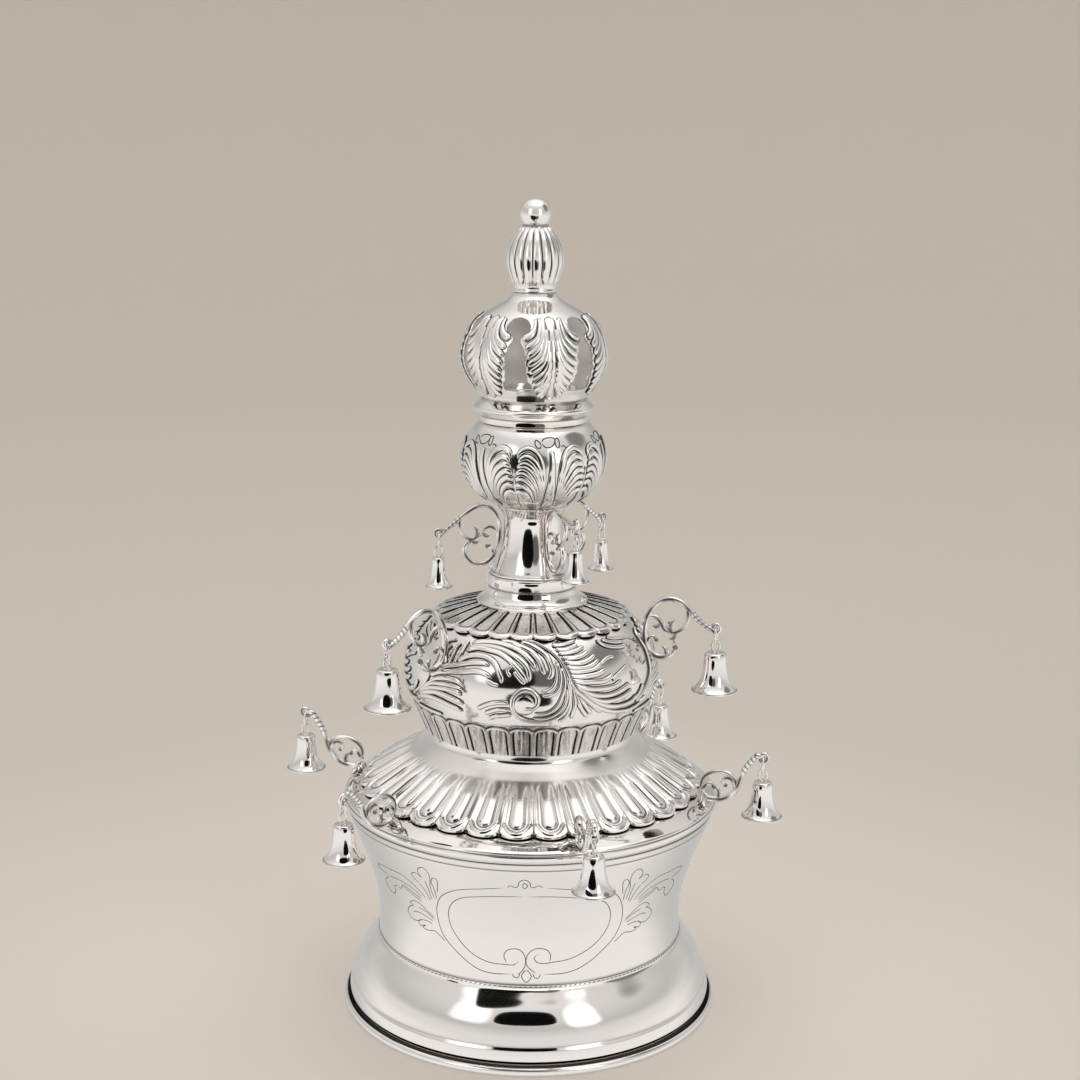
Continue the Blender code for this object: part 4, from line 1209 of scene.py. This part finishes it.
def room_light(world):
    """The light that comes from each direction. Each step is a smooth one between angles."""
    world.use_nodes = True
    tree = world.node_tree
    place = add_node(tree, "ShaderNodeTexCoord").outputs["Generated"]
    ways = add_node(tree, "ShaderNodeSeparateXYZ", (), [("Vector", place)])
    height = add_node(
        tree, "ShaderNodeMapRange", {"From Min": -1, "From Max": 1}, [("Value", ways.outputs["Z"])])
    level = add_node(tree, "ShaderNodeValToRGB", (), [("Fac", height.outputs[0])])
    ramp = level.color_ramp
    ramp.interpolation = "EASE"
    while len(ramp.elements) < len(ROOM_BY_HEIGHT):
        ramp.elements.new(0.5)
    for element, (angle, tone) in zip(ramp.elements, ROOM_BY_HEIGHT):
        element.position = 0.5 + 0.5 * np.sin(np.radians(angle))
        element.color = (tone, tone, tone, 1)
    facing = {"operation": "DOT_PRODUCT", 1: (0, 0.9, -0.45)}
    back = add_node(tree, "ShaderNodeVectorMath", facing, [(0, place)])
    ease = {"interpolation_type": "SMOOTHSTEP", "From Min": 0.2, "From Max": 0.9, "To Min": 1}
    behind = add_node(tree, "ShaderNodeMapRange", {**ease, "To Max": BEHIND}, [
        ("Value", back.outputs["Value"])])
    dim = add_node(tree, "ShaderNodeVectorMath", {"operation": "SCALE"}, [
        (0, level.outputs["Color"]), ("Scale", behind.outputs["Result"])])
    tree.links.new(tree.nodes["Background"].inputs["Color"], dim.outputs[0])


def paper_sweep():
    """Pale paper that lies flat round the crown and curves up to a wall all round, a little darker
    further away."""
    line = smooth([
        (0, 0), (2.4, 0), (2.9, 0.05), (3.4, 0.22), (3.8, 0.55), (4.05, 1), (4.1, 1.6), (4.1, 3.2)],
        40)
    t = np.radians(steps(48))
    r, z = line[:, :1], line[:, 1:] + 0 * t
    points = np.stack([r * np.sin(t), -r * np.cos(t), z], -1).reshape(-1, 3)
    here = np.arange(len(points)).reshape(z.shape)
    on = np.roll(here, -1, 1)
    quads = np.stack([here[1:], on[1:], on[:-1], here[:-1]], -1).reshape(-1, 4)
    sweep = bpy.data.meshes.new("paper_sweep")
    sweep.from_pydata(points.tolist(), [], quads.tolist())
    sweep.shade_smooth()
    paper, tree = new_material("paper")
    shader = tree.nodes["Principled BSDF"]
    shader.inputs["Roughness"].default_value = 0.9
    shader.inputs["Specular IOR Level"].default_value = 0
    place = add_node(tree, "ShaderNodeTexCoord").outputs["Object"]
    away = add_node(tree, "ShaderNodeVectorMath", {"operation": "LENGTH"}, [(0, place)])
    share = add_node(tree, "ShaderNodeMapRange", {"From Min": 0.1, "From Max": 0.5}, [
        ("Value", away.outputs["Value"])])
    # Painted shade: the paper darkens with distance from the crown as the light falls off.
    tones = {"data_type": "RGBA", 6: linear(PAPER_NEAR), 7: linear(PAPER_FAR)}
    tint = add_node(tree, "ShaderNodeMix", tones, [(0, share.outputs[0])])
    tree.links.new(shader.inputs["Base Color"], tint.outputs[2])
    sweep.materials.append(paper)
    ground = put("paper_sweep", sweep)
    ground.visible_glossy = False
    ground.visible_shadow = False


CAMERA_DISTANCE, CAMERA_HEIGHT, CAMERA_DOWN, CAMERA_ROLL = 0.915, 0.4398, 12.2, 0.51


def camera():
    """The camera in front of the crown, looking down on it a little."""
    data = bpy.data.cameras.new("camera")
    data.sensor_width, data.lens, data.shift_x = 36, 62.33, 0.0068
    obj = put("camera", data)
    obj.location = (0, -CAMERA_DISTANCE, CAMERA_HEIGHT)
    tilt = Matrix.Rotation(np.radians(90 - CAMERA_DOWN), 3, "X")
    roll = Matrix.Rotation(np.radians(CAMERA_ROLL), 3, "Z")
    obj.rotation_euler = (tilt @ roll).to_euler()
    bpy.context.scene.camera = obj


for build in (
    foot_ring, lower_drum, engraving, fluted_shoulder, upper_drum, bulge_acanthus, scalloped_cap,
    neck, lower_knop, knop_ring, pierced_bulb, bud_finial,
):
    build()
for tier in TIERS:
    hanging(tier)
paper_sweep()
bpy.context.scene.world = bpy.data.worlds.new("studio")
room_light(bpy.context.scene.world)
for each in CARDS:
    card(*each)
camera()
bpy.context.scene.view_settings.view_transform = "Standard"
